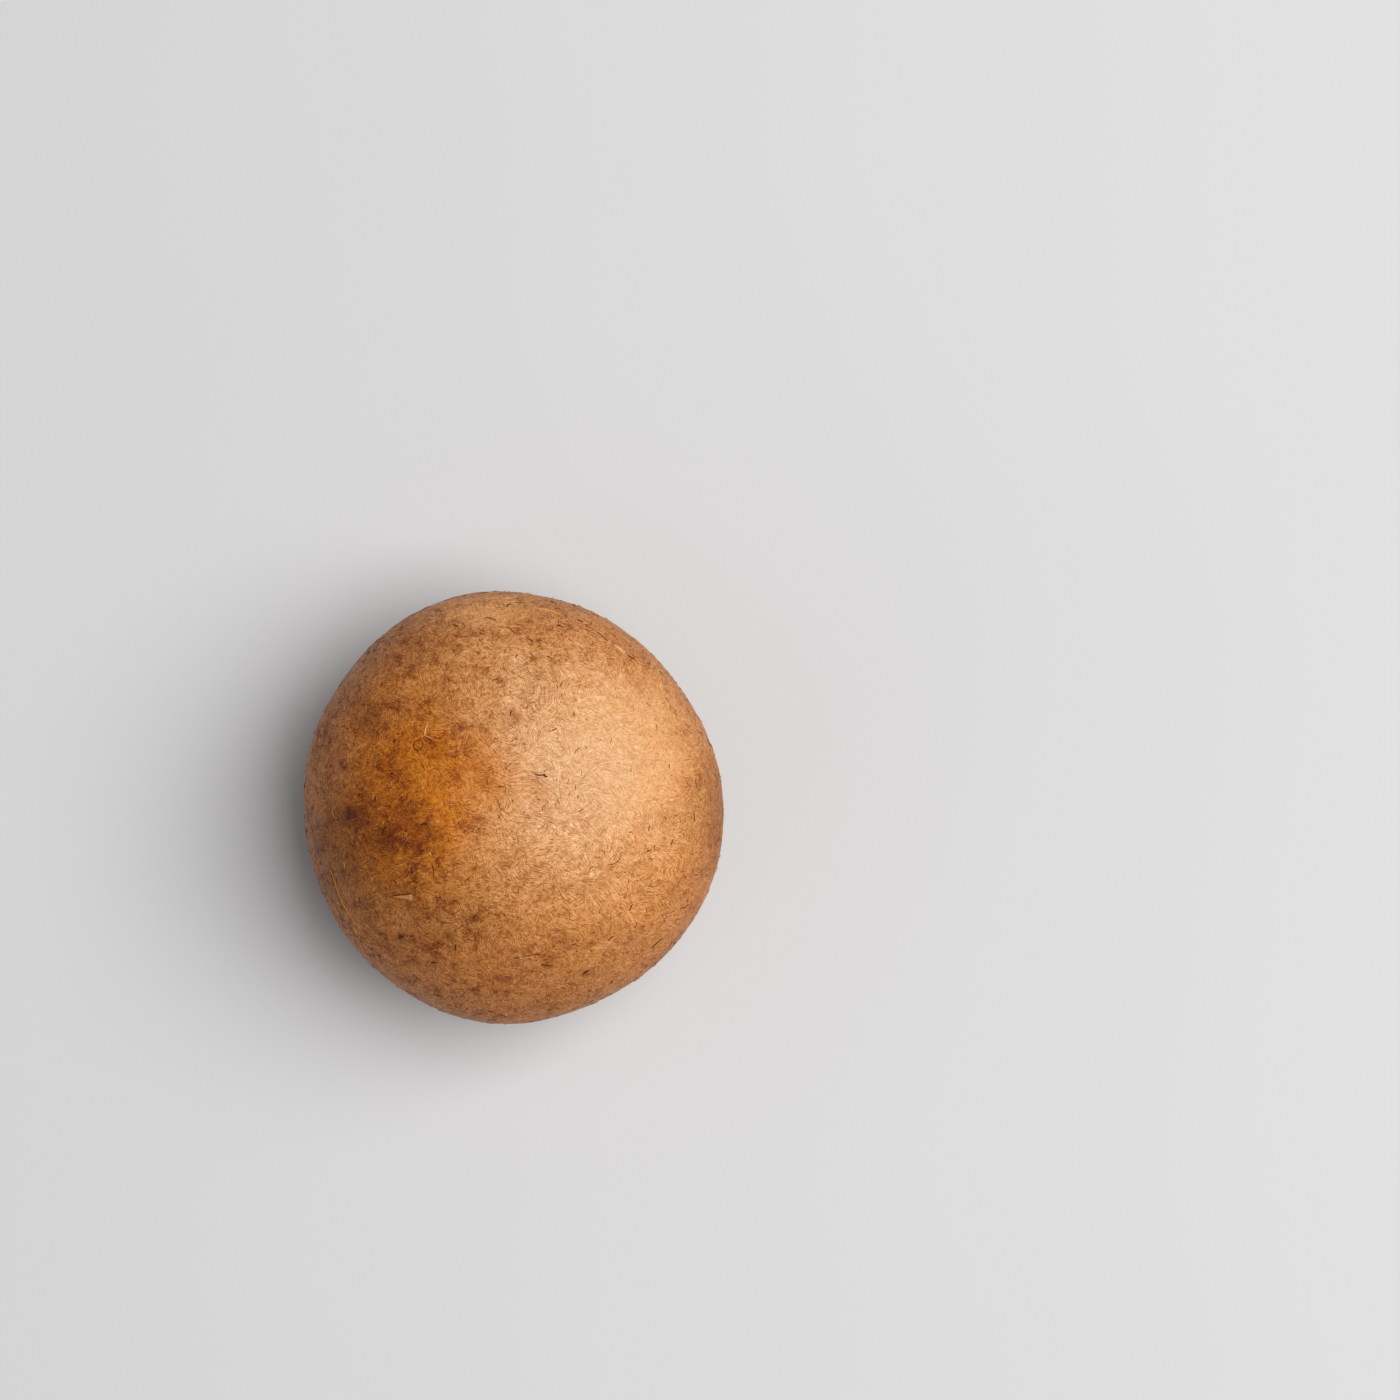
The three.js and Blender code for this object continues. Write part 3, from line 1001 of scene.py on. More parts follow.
# %% Laying paths on the skin
ROD_SINK = 0.5  # how deep a rod's sides lie below its middle, as a share of its half-width


def on_skin(flat):
    """The skin point and normal for places of the map, each a weighted mean of four grid points."""
    row = np.clip((skin_length - np.linalg.norm(flat, axis=-1)) / skin_step, 0, SKIN_ROWS - 1.001)
    column = np.arctan2(flat[..., 1], flat[..., 0]) / (2 * math.pi) % 1 * ROUND_COLUMNS
    low, left = np.floor(row).astype(int), np.floor(column).astype(int)
    up, across = (row - low)[..., None], (column - left)[..., None]
    left %= ROUND_COLUMNS
    right = (left + 1) % ROUND_COLUMNS

    def mean_of_four(grid):
        near = grid[low, left] * (1 - across) + grid[low, right] * across
        far = grid[low + 1, left] * (1 - across) + grid[low + 1, right] * across
        return near * (1 - up) + far * up

    normal = mean_of_four(skin_normals)
    return mean_of_four(skin_grid), normal / np.linalg.norm(normal, axis=-1, keepdims=True)


def around(centre, offsets):
    """Offsets in mm added to map places. What goes round the cap is stretched as the map is there."""
    reach = np.maximum(np.linalg.norm(centre, axis=-1, keepdims=True), 1e-6)
    outward = centre / reach
    sideways = np.stack([-outward[..., 1], outward[..., 0]], axis=-1)
    radius = np.interp(reach[..., 0], from_apex[::-1], even_line[::-1, 0])
    stretch = reach[..., 0] / np.maximum(radius, 1e-6)
    out_part = np.einsum("npk,nk->np", offsets, outward)
    side_part = np.einsum("npk,nk->np", offsets, sideways) * stretch[:, None]
    parts = out_part[..., None] * outward[:, None] + side_part[..., None] * sideways[:, None]
    return centre[:, None] + parts


def rods(paths, half_width, lift):
    """Three-sided rods along map paths: two corners at the sides and one on top of each section."""
    place, normal = on_skin(paths)
    place = place + normal * lift[..., None]
    along = np.gradient(place, axis=1)
    side = np.cross(normal, along)
    side /= np.maximum(np.linalg.norm(side, axis=-1, keepdims=True), 1e-9)
    wide, high = side * half_width[..., None], normal * half_width[..., None]
    sunk = ROD_SINK * high
    corners = np.stack([place - wide - sunk, place + wide - sunk, place + high], axis=2)
    count, steps = paths.shape[:2]
    band = band_faces(steps, 3)[None] + 3 * steps * np.arange(count)[:, None, None]
    ends = np.array([[0, 2, 1], [3 * steps - 3, 3 * steps - 2, 3 * steps - 1]])
    ends = ends[None] + 3 * steps * np.arange(count)[:, None, None]
    return corners.reshape(-1, 3), band.reshape(-1, 4).tolist() + ends.reshape(-1, 3).tolist()


def map_place(x, y):
    """Where the map shows the skin point over a spot, found as the nearest of the grid's points."""
    upper = slice(SKIN_ROWS // 3, SKIN_ROWS - 1)
    away = np.hypot(skin_grid[upper, :, 0] - x, skin_grid[upper, :, 1] - y)
    row, column = np.unravel_index(away.argmin(), away.shape)
    reach = from_apex[upper][row]
    return reach * np.array([math.cos(AZIMUTH[column]), math.sin(AZIMUTH[column])])


print("the spot 10 mm east of the middle is on the map at", map_place(10.0, 0.0).round(1))

# %% [markdown]
# ### The wisps
#
# Places are drawn evenly over the skin's area, and the calm patch keeps only a few of its own. Each
# wisp lies roughly round the cap, the more so the nearer it is to the margin, and bends a little.
# Only the pale ones lift a tip off the skin. Wisps that curl and stand up look like wool, so lengths
# stay near a millimetre.

# %% Where the wisps lie
WISPS = 1900  # places drawn
WISP_SEED = 5
WISP_TONES = [-0.6, 0.1, 1.1]  # black, brown and pale
TONE_SHARES = [0.11, 0.53, 0.36]
CALM_SHARE = 0.25  # of the wisps kept inside the first distance from the calm patch's middle
CALM_DISTANCES = (10.0, 27.0)  # mm, and past the second all are kept
LIP_CLEARANCE = 1.0

draw = np.random.default_rng(WISP_SEED)
outside = from_apex < skin_length - lip_length - LIP_CLEARANCE
area_so_far = np.cumsum(even_line[outside][::-1, 0])
wisp_area = draw.uniform(0, area_so_far[-1], WISPS)
wisp_reach = np.interp(wisp_area, area_so_far, from_apex[outside][::-1])
wisp_azimuth = draw.uniform(0, 2 * math.pi, WISPS)
wisp_centre = wisp_reach[:, None] * np.stack([np.cos(wisp_azimuth), np.sin(wisp_azimuth)], axis=1)
wisp_place, _ = on_skin(wisp_centre)
from_calm = np.linalg.norm(wisp_place - PATCHES["calm"][0], axis=1)
keeping = CALM_SHARE + (1 - CALM_SHARE) * smooth(*CALM_DISTANCES, from_calm)
kept = draw.uniform(0, 1, WISPS) < keeping
wisp_centre, wisp_azimuth, wisp_reach = wisp_centre[kept], wisp_azimuth[kept], wisp_reach[kept]
wisp_count = len(wisp_centre)
print(f"{wisp_count} wisps")

# %% How the wisps are shaped
WISP_STEPS = 7
TONE_SPREAD = (-0.15, 0.2)
LOG_LENGTH = (-0.12, 0.40)  # middle and spread of the logarithm of the length in mm
SHORTEST, LONGEST = 0.4, 2.0
WISP_BEND = 0.8
WISP_SPREAD = (1.7, 1.1)  # spread of the heading at the apex, and how much less it is at the lip
WISP_HALF_WIDTHS = (0.045, 0.10)
TAPER = 1.96  # 2 would bring both ends to a point
PALE_TONE = 0.5  # wisps of a higher tone lift a tip
TIP_LIFT = 0.30
WISP_LIFT = 0.02

wisp_tone = draw.choice(WISP_TONES, wisp_count, p=TONE_SHARES)
wisp_tone += draw.uniform(*TONE_SPREAD, wisp_count)
wisp_long = np.clip(draw.lognormal(*LOG_LENGTH, wisp_count), SHORTEST, LONGEST)
wisp_share = np.linspace(-0.5, 0.5, WISP_STEPS)
wisp_bend = draw.normal(0, WISP_BEND, (wisp_count, 1))
spread = WISP_SPREAD[0] - WISP_SPREAD[1] * wisp_reach / wisp_reach.max()
heading = wisp_azimuth + math.pi / 2 + draw.normal(0, 1, wisp_count) * spread
wisp_turn = heading[:, None] + wisp_bend * wisp_share
wisp_step = wisp_long[:, None] / (WISP_STEPS - 1)
walk = np.stack([np.cos(wisp_turn), np.sin(wisp_turn)], axis=-1) * wisp_step[..., None]
walk = np.cumsum(walk, axis=1)
walk -= walk.mean(axis=1, keepdims=True)
taper = np.sqrt(1 - (TAPER * wisp_share) ** 2)
wisp_width = draw.uniform(*WISP_HALF_WIDTHS, (wisp_count, 1)) * taper
tip_lift = (wisp_tone[:, None] > PALE_TONE) * draw.uniform(0.0, TIP_LIFT, (wisp_count, 1))
wisp_rise = tip_lift * (wisp_share + 0.5) ** 2
wisp_points, wisp_faces = rods(around(wisp_centre, walk), wisp_width, wisp_rise + WISP_LIFT)
print(f"they are {wisp_long.min():.1f} to {wisp_long.max():.1f} mm long")

# %% [markdown]
# ### Hairs and marks
#
# Some fibres are seen one by one: a loop with two pale hairs beside it, a dark mark near the middle,
# a hair on the torn nick, a pale strand along the left margin, which is partly painted sheen on the
# rim, and some fifty small straight marks.
# They are rods like the wisps, but each has a path of its own, given in millimetres from a spot.

# %% Single hairs
HAIR_CUT = 0.04  # share of the half turn left off at each end
LOOP_WIDTH, LOOP_HEIGHT = 1.0, 0.95
LOOP_OVERLAP = 0.6
HAIRS = [  # east, north, control points from there, steps, half-width, lift and tone
    (-15.8, 15.0, [(-0.1, -1.2), (-0.2, 0.2), (0.6, 1.1)], 9, 0.12, 0.12, 2.0),
    (-15.4, 13.4, [(-0.9, 0.5), (0.0, 0.2), (1.1, -0.4)], 9, 0.10, 0.10, 1.8),
    (6.4, 6.3, [(-1.2, 0.2), (-0.4, -0.3), (1.2, 0.3)], 9, 0.16, 0.02, -0.8),
    (7.2, 6.2, [(-0.5, 0.3), (0.1, 0.1), (0.6, -0.2)], 9, 0.20, 0.02, -1.0),
    (20.6, -9.6, [(-1.6, -1.1), (0.9, -1.4), (1.1, 1.0)], 12, 0.11, 0.02, -0.6),
    (9.0, 15.0, [(-0.9, -0.4), (0.0, 0.1), (0.6, 0.4)], 9, 0.11, 0.03, -0.7),
    (-14.1, -12.0, [(0.1, -1.4), (0.3, 0.3), (-0.2, 1.4)], 9, 0.10, 0.02, -0.6),
    (-20.2, -16.6, [(-2.2, -0.5), (0.0, 0.1), (2.1, 0.4)], 12, 0.12, 0.03, -0.6),
    (-17.6, -16.1, [(-0.2, -0.5), (0.1, 0.6), (0.3, 1.9)], 9, 0.07, 0.02, 0.0),
    (23.5, 29.2, [(-0.8, 0.5), (0.0, 0.0), (0.8, -0.2)], 9, 0.13, 0.03, -0.8),
    (-22.2, 6.6, [(-0.25, 0.0), (0.0, 0.05), (0.25, 0.0)], 5, 0.27, 0.02, -1.0),
    (-19.4, -4.4, [(-0.2, 0.0), (0.0, 0.05), (0.2, 0.0)], 5, 0.21, 0.02, -1.0),
]


def tapered(steps, cut=HAIR_CUT):
    """Square root of a half sine, less a cut at each end, so that a rod thins out both ways."""
    return np.sin(np.linspace(cut, 1 - cut, steps) * math.pi)[None] ** 0.5


def hair(east, north, path, half_width, lift):
    """One rod whose path is given in mm east and north of a spot on the cap."""
    path = np.array(path, float)[None]
    steps = path.shape[1]
    laid = around(map_place(east, north)[None], path)
    return rods(laid, half_width * tapered(steps), np.full((1, steps), lift))


loop_turn = np.linspace(0.0, 2 * math.pi + LOOP_OVERLAP, 24)
loop_path = np.stack([LOOP_WIDTH * np.cos(loop_turn), LOOP_HEIGHT * np.sin(loop_turn)], axis=1)
hairs = [(*hair(-17.0, 12.0, loop_path, 0.09, 0.02), -0.9)]
for east, north, controls, steps, half_width, lift, tone in HAIRS:
    hairs.append((*hair(east, north, bezier(controls, steps), half_width, lift), tone))
print(f"{len(hairs)} hairs with paths of their own")

# %% The strands along the left margin
# The pale strand draws the thin bright line on the left rim: partly a pale fibre, partly painted sheen.
RIM_STEPS = 26
RIM_AZIMUTHS = (196.5, 216.5)
RIM_RADIUS = 41.7

rim_turn = np.radians(np.linspace(*RIM_AZIMUTHS, RIM_STEPS))
lower = slice(SKIN_ROWS // 2, None)
rim_reach = np.interp(RIM_RADIUS, even_line[lower, 0][::-1], from_apex[lower][::-1])
rim_wave = rim_reach + 0.35 * np.sin(rim_turn * 23) + 1.6 * np.linspace(-0.5, 0.5, RIM_STEPS) ** 2
rim_path = (rim_wave * np.stack([np.cos(rim_turn), np.sin(rim_turn)])).T[None]
rim_taper = tapered(RIM_STEPS, 0.05)
inner_part = slice(3, 20)  # a second, shorter strand lies just outside this part
second_taper = rim_taper[:, inner_part]
second_lift = np.full(second_taper.shape, 0.01)
hairs.append((*rods(rim_path, 0.10 * rim_taper, np.full((1, RIM_STEPS), 0.03)), 1.3))
hairs.append((*rods(rim_path[:, inner_part] * 1.008, 0.07 * second_taper, second_lift), 0.0))
print(f"the strands lie {rim_reach:.1f} mm from the apex along the skin")

# %% The small marks
MARKS = [  # east, north, heading in degrees, length and half-width in mm, and tone
    (-10.6, 35.3, -35, 1.6, 0.14, -0.8), (3.8, 32.2, -40, 1.3, 0.15, -0.9),
    (1.6, 29.3, 60, 1.0, 0.13, -0.8), (7.7, 28.9, -20, 1.1, 0.15, -0.9),
    (0.8, 18.1, 70, 0.9, 0.12, -0.8), (12.6, 18.0, 100, 0.9, 0.12, -0.8),
    (-0.1, 34.3, -45, 2.2, 0.12, -0.7), (9.7, 35.0, -15, 1.4, 0.13, -0.8),
    (-3.8, 36.6, -30, 2.4, 0.11, -0.7), (17.6, 33.3, -40, 3.2, 0.10, -0.6),
    (13.5, 36.3, -30, 1.2, 0.13, -0.8), (-5.6, 33.4, -20, 1.2, 0.12, -0.7),
    (6.9, 38.4, -14, 5.0, 0.11, 1.7), (-12.6, 36.4, 22, 3.0, 0.12, 1.8),
    (-8.0, 37.4, 8, 2.6, 0.10, 1.6), (-1.8, 37.2, -22, 3.0, 0.10, 1.6),
    (-5.3, 26.2, 35, 2.6, 0.10, 1.6), (-4.2, 25.7, 75, 1.8, 0.09, 1.5),
    (-3.6, 4.7, -80, 1.0, 0.10, -0.6), (26.8, -8.4, 20, 0.9, 0.12, -0.7),
    (31.0, 8.0, 70, 0.9, 0.11, -0.7), (-23.6, -4.4, 70, 2.0, 0.17, -0.8),
    (-16.0, -3.2, 20, 1.6, 0.14, -0.8), (-21.6, 12.8, 75, 1.2, 0.14, -0.7),
    (-13.3, -2.6, 10, 0.9, 0.14, 1.9), (-12.6, 0.8, 60, 0.9, 0.10, 1.8),
    (-14.6, -8.8, -60, 1.0, 0.11, 1.8), (-18.4, -12.0, -80, 1.3, 0.12, -0.8),
    (-20.6, -10.9, 20, 2.2, 0.09, 1.7), (-9.0, 8.6, -40, 0.9, 0.10, 1.8),
    (-9.4, -10.4, -10, 1.5, 0.11, 1.7), (-8.4, -6.2, -40, 1.4, 0.10, 1.7),
    (-30.6, -24.0, -60, 2.6, 0.11, 1.6), (27.2, -4.0, 80, 1.2, 0.12, -0.7),
    (31.3, -6.6, 70, 1.3, 0.12, -0.7), (23.5, -19.3, 70, 1.3, 0.13, -0.8),
    (19.7, -25.2, 40, 1.4, 0.14, -0.8), (12.7, -26.2, 10, 1.0, 0.13, -0.8),
    (1.5, -28.8, 0, 1.2, 0.13, -0.8), (7.4, -30.5, -15, 2.2, 0.16, -0.7),
    (14.6, -32.0, 30, 1.4, 0.15, -0.8), (28.5, -26.5, 38, 3.0, 0.12, -0.8),
    (13.6, 2.1, 90, 0.7, 0.12, -0.8), (35.6, -1.5, 95, 2.2, 0.10, -0.7),
    (36.0, 4.8, 95, 1.8, 0.10, -0.7), (-10.1, -27.0, 85, 1.4, 0.13, -0.8),
    (-14.2, -36.7, -5, 1.8, 0.13, -0.8), (-21.0, -25.0, 30, 1.3, 0.15, -0.8),
    (-14.4, -30.1, 15, 1.3, 0.15, -0.8), (-6.1, -20.8, 45, 1.0, 0.13, -0.7),
    (4.5, -28.4, 5, 4.6, 0.09, -0.5),
]
MARK_BOW = 0.12  # sideways, as a share of the half length
MARK_STEPS = 9
MARK_LIFT = 0.03

for east, north, heading, length, half_width, tone in MARKS:
    aim = length / 2 * np.array([math.cos(math.radians(heading)), math.sin(math.radians(heading))])
    bow = MARK_BOW * np.array([-aim[1], aim[0]])
    path = bezier([-aim, 2 * bow, aim], MARK_STEPS)
    hairs.append((*hair(east, north, path, half_width, MARK_LIFT), tone))
print(f"{len(MARKS)} marks")

# %% [markdown]
# ### The wisps' finish
#
# A wisp is black with soil, brown or pale, and the driest hairs are nearly straw. One material serves
# all, because the mesh carries a tone for each fibre. Hairs and marks join the wisps' mesh: they are
# the same kind of thing, and one mesh of thousands of rods is light where thousands of objects aren't.

# %% The wisps' colour and the wisps as a piece
WISP_BLACK = paint(30, 14, 4)
WISP_DARK = paint(118, 56, 12)
WISP_PALE = paint(222, 150, 78)
WISP_DRY = paint(240, 186, 118)


def make_wisp_finish():
    """Black, brown, pale or dry by tone, made slightly lighter or darker by slow noise."""
    material, tree, shader, place, _ = new_finish("wisps", 0.7, gloss=0.08)
    tone = carried(tree, "tone")
    colour = blend(tree, fade(tree, tone, 0.1, 1.1), WISP_DARK, WISP_PALE)
    colour = blend(tree, fade(tree, tone, -1.0, -0.2, 1.0, 0.0), colour, WISP_BLACK)
    colour = blend(tree, fade(tree, tone, 1.4, 2.0), colour, WISP_DRY)
    slow, _ = noise(tree, place, 0.4, detail=3.0)
    colour = dimmed(tree, colour, fade(tree, slow, 0.3, 0.7, 0.75, 1.2))
    tree.links.new(colour, shader.inputs["Base Color"])
    raise_surface(tree, shader, slow, 0.02)
    return material


fibre_sizes = [3 * WISP_STEPS] * wisp_count
for points, faces, _ in hairs:
    fibre_sizes.append(len(points))
    shift = sum(fibre_sizes[:-1])
    wisp_faces += [[corner + shift for corner in face] for face in faces]
wisp_points = np.concatenate([wisp_points, *[points for points, _, _ in hairs]])
wisp_tone = np.append(wisp_tone, [tone for _, _, tone in hairs])
wisps = add_piece("wisps", wisp_points, wisp_faces, make_wisp_finish())
carry(wisps, "tone", np.repeat(wisp_tone, fibre_sizes))

# %% [markdown]
# ### Torn flakes
#
# At the left the skin has a small torn nick, and near the far edge a scale of it has peeled up. Each
# could be cut into the cap, but its grid is too coarse for an edge a tenth of a millimetre thick. So
# each is a thin closed scale laid on the skin: a sheet between two edges, lifted on one side, with
# a second sheet under it that reaches just into the skin.

# %% The flakes
FLAKE_THICKNESS = 0.08
FLAKE_SUNK = 0.02
FLAKE_ROWS = 5


def flake(east, north, edges, lift):
    """Rows shared out between two edges, raised by the square of the share, above and below."""
    near, far = (np.array(edge, float) for edge in edges)
    share = np.linspace(0, 1, FLAKE_ROWS)[:, None, None]
    sheet = near[None] * (1 - share) + far[None] * share
    rows, columns = sheet.shape[:2]
    laid = around(map_place(east, north)[None], sheet.reshape(1, -1, 2))
    place, normal = on_skin(laid)
    rise = (lift * share[..., 0] ** 2 * np.ones((rows, columns))).reshape(1, -1, 1)
    top = place + normal * (rise + FLAKE_THICKNESS)
    under = place + normal * (rise - FLAKE_SUNK)
    grids = [layer.reshape(rows, columns, 3) for layer in (top, under)]
    ring = np.concatenate([grids[0], grids[1][::-1]])
    return ring.reshape(-1, 3), flake_faces(rows, columns)


def flake_faces(rows, columns):
    """The band over the top and back below, the strip that closes it, and both ends."""
    band = band_faces(2 * rows, columns, closed=False)
    last = (2 * rows - 1) * columns + np.arange(columns - 1)
    first = np.arange(columns - 1)
    closing = np.stack([last, last + 1, first + 1, first], axis=1)
    level = np.arange(rows - 1)
    sides = []
    for column, flipped in ((0, True), (columns - 1, False)):
        a, b = level * columns + column, (level + 1) * columns + column
        c, d = (2 * rows - 2 - level) * columns + column, (2 * rows - 1 - level) * columns + column
        sides.append(np.stack([a, b, c, d] if flipped else [d, c, b, a], axis=1))
    return np.concatenate([band, closing, *sides])


nick_edges = (
    bezier([(-2.2, -0.7), (0.0, -0.9), (2.0, -1.0)], 9),
    bezier([(-2.2, -0.6), (0.2, -0.2), (2.1, 0.25)], 9),
)
peel_edges = (
    bezier([(-1.2, 0.9), (0.0, -0.2), (0.9, -0.9)], 7),
    bezier([(-1.25, 0.95), (0.4, 0.4), (1.1, -0.5)], 7),
)
flakes = [flake(-20.2, -16.6, nick_edges, 0.10), flake(21.4, 30.6, peel_edges, 0.30)]
print(f"{len(flakes)} flakes")

# %% The flakes' colour and the flakes as a piece
FLAKE_PALE = paint(236, 186, 134)
FLAKE_TAN = paint(206, 142, 88)
FLAKE_RIM = paint(190, 124, 72)
FLAKE_THREADS = {"Across": (0.2, 1.0, 0.1), "Width": 0.2}


def make_flake_finish():
    """Peeled skin with fine threads: the nick is tan and the scale paler than its surroundings."""
    material, tree, shader, place, normal = new_finish("flakes", 0.6, gloss=0.3)
    threads = fibres(tree, place, normal, FLAKE_THREADS)["Threads"]
    dry = blend(tree, carried(tree, "tone"), FLAKE_TAN, FLAKE_PALE)
    tree.links.new(blend(tree, threads, FLAKE_RIM, dry), shader.inputs["Base Color"])
    raise_surface(tree, shader, threads, 0.03)
    return material


flake_sizes = [len(points) for points, _ in flakes]
flake_points = np.concatenate([points for points, _ in flakes])
joined = np.concatenate([flakes[0][1], flakes[1][1] + flake_sizes[0]])
flake_piece = add_piece("flakes", flake_points, joined.tolist(), make_flake_finish())
carry(flake_piece, "tone", np.repeat([0.0, 1.0], flake_sizes))

# %% [markdown]
# ## The gills
#
# Under the cap hang some hundreds of thin plates, set on edge like the leaves of a book bent round
# the stem. Long ones run from the margin almost to the stem, and shorter ones fill the room that
# opens between them further out. They could be one pleated sheet, but real gills are separate plates
# with free lower edges, so each is a thin closed blade: a grid along and down, once for each side,
# joined round its rim. All blades are worked out in one set of arrays, and each blade has 52 faces.

# %% Which gills there are
LONG_GILLS = 80
GILL_BELLY = 1.1
GUTTER_RADIUS = 15.6
GILL_SPAN = GILL_RIM_RADIUS - GUTTER_RADIUS
WALL_BITE = 0.4  # how far a blade reaches into the flesh that holds it
PLACE_SPREAD = 0.045  # how unevenly the gills stand, in bays
START_SPREAD = 0.9  # and how unevenly the short ones begin, in mm
START_WANDER = 0.3  # and all of them
GILL_SEED = 23
GILLS_TAKE_TURNS = [(0.0, 0.0), (0.5, 0.42), (0.25, 0.66), (0.75, 0.70)]  # place in a bay, start

draw = np.random.default_rng(GILL_SEED)
bay = np.arange(LONG_GILLS)[:, None]
place_in_bay = np.array([place for place, _ in GILLS_TAKE_TURNS])
start_share = np.array([start for _, start in GILLS_TAKE_TURNS])
gill_count = LONG_GILLS * len(GILLS_TAKE_TURNS)
uneven = draw.normal(0, PLACE_SPREAD, (LONG_GILLS, len(GILLS_TAKE_TURNS)))
gill_azimuth = ((bay + place_in_bay + uneven) * 2 * math.pi / LONG_GILLS).ravel()
gill_start = GUTTER_RADIUS + GILL_SPAN * np.tile(start_share, LONG_GILLS)
is_short = np.tile(start_share > 0, LONG_GILLS)
gill_start = gill_start + is_short * draw.normal(0, START_SPREAD, gill_count)
gill_start = gill_start + draw.uniform(-START_WANDER, START_WANDER, gill_count)
print(f"{gill_count} gills, {2 * math.pi * GILL_RIM_RADIUS / gill_count:.2f} mm apart at the margin")

# %% [markdown]
# A blade hangs from the ceiling to its free edge, thinner at the edge. Its inner end is rounded off,
# and it sways a little, because thin plates dry unevenly. The free edges of all blades together sag
# between the gutter round the stem and the margin.

# %% One blade as a grid, for all blades at once
ALONG, DOWN = 9, 3  # points along a blade and down it
ROOT_THICKNESS, EDGE_THICKNESS = 0.34, 0.20
RIPPLE, RIPPLE_TURN = 0.16, 9  # of the free edge: height in mm, and turn along the blade
SWAYS = [(0.14, 5), (0.07, 13)]  # the same, sideways
BLADE_SPREAD = 0.12  # how much deeper or shallower a blade is, in mm
LEAN_SPREAD = 0.10
INNER_DEPTH = 0.08  # share of the depth left at the rounded inner end
inner_rounding = np.where(is_short, 5.0, 3.0)[:, None]


def free_edge_height(radius):
    """The gills' free edges sag between gutter and margin: a parabola through both ends."""
    share = np.clip((radius - GUTTER_RADIUS) / GILL_SPAN, 0, 1)
    chord = GUTTER_HEIGHT + (GILL_RIM_HEIGHT - GUTTER_HEIGHT) * share
    return chord - 4 * GILL_BELLY * share * (1 - share)


def blades():
    """A blade spans from the ceiling to the free edge, with a rounded inner end and a slight sway."""
    outward = np.linspace(0, 1, ALONG)[None, :]
    end = GILL_RIM_RADIUS + WALL_BITE
    radius = gill_start[:, None] + (end - gill_start[:, None]) * outward
    root = ceiling_height(np.minimum(radius, CEILING_RADIUS)) + WALL_BITE
    rounded = np.clip((radius - gill_start[:, None]) / inner_rounding, 0, 1)
    depth = np.maximum(np.sqrt(1 - (1 - rounded) ** 2), INNER_DEPTH)
    phase = draw.uniform(0, 2 * math.pi, (3, gill_count, 1))
    ripple = RIPPLE * np.sin(outward * RIPPLE_TURN + phase[0])
    ripple = ripple + draw.normal(0, BLADE_SPREAD, (gill_count, 1))
    edge = root - (root - free_edge_height(radius) - ripple) * depth
    sway = sum(
        width * np.sin(outward * turn + start) for (width, turn), start in zip(SWAYS, phase[1:])
    )
    lean = draw.normal(0, LEAN_SPREAD, (gill_count, 1))
    sides = []
    for side in (-1, 1):
        rows = []
        for step in range(DOWN):
            share = step / (DOWN - 1)
            thickness = ROOT_THICKNESS + (EDGE_THICKNESS - ROOT_THICKNESS) * share
            across = side * thickness / 2 + sway * share + lean * share
            azimuth = gill_azimuth[:, None] + across / radius
            top = grown(radius, root, azimuth, 1.0)
            bottom = grown(radius, edge, azimuth, smooth(STEM_TOP_RADIUS, GILL_RIM_RADIUS, radius))
            rows.append(top + (bottom - top) * share)
        sides.append(np.stack(rows, axis=2))
    return np.stack(sides, axis=1) - middle


def blade_faces():
    """The two sides of one blade and the four strips round its rim, all facing outwards."""
    index = np.arange(2 * ALONG * DOWN).reshape(2, ALONG, DOWN)
    left, right = index

    def strips(a, b, c, d):
        return np.stack([a, b, c, d], axis=-1).reshape(-1, 4)

    faces = [strips(right[:-1, :-1], right[1:, :-1], right[1:, 1:], right[:-1, 1:])]
    faces += [strips(left[:-1, :-1], left[:-1, 1:], left[1:, 1:], left[1:, :-1])]
    faces += [strips(left[:-1, -1], right[:-1, -1], right[1:, -1], left[1:, -1])]
    faces += [strips(left[:-1, 0], left[1:, 0], right[1:, 0], right[:-1, 0])]
    faces += [strips(left[0, :-1], right[0, :-1], right[0, 1:], left[0, 1:])]
    faces += [strips(left[-1, :-1], left[-1, 1:], right[-1, 1:], right[-1, :-1])]
    return np.concatenate(faces)


gill_grid = blades()
one_blade = blade_faces()
blade_points = gill_grid[0].size // 3
gill_faces = one_blade[None] + blade_points * np.arange(gill_count)[:, None, None]
print(f"{len(one_blade)} faces to a blade")

# %% [markdown]
# ### The gills' finish
#
# Ripe gills are chocolate brown from their spores, each a little different from the next, and paler
# and pinker near the root, where few spores lie. The mesh carries a tone for each blade and the share
# of the way down, so the finish can follow both.

# %% The gills' colour and the gills as a piece
COCOA = paint(104, 70, 56)
DARK_COCOA = paint(62, 40, 32)
ROSY = paint(150, 112, 96)
SPORE_DUST = {"Size": 2.4, "Level": 0.52, "Softness": 0.15, "Fray": 0.6}


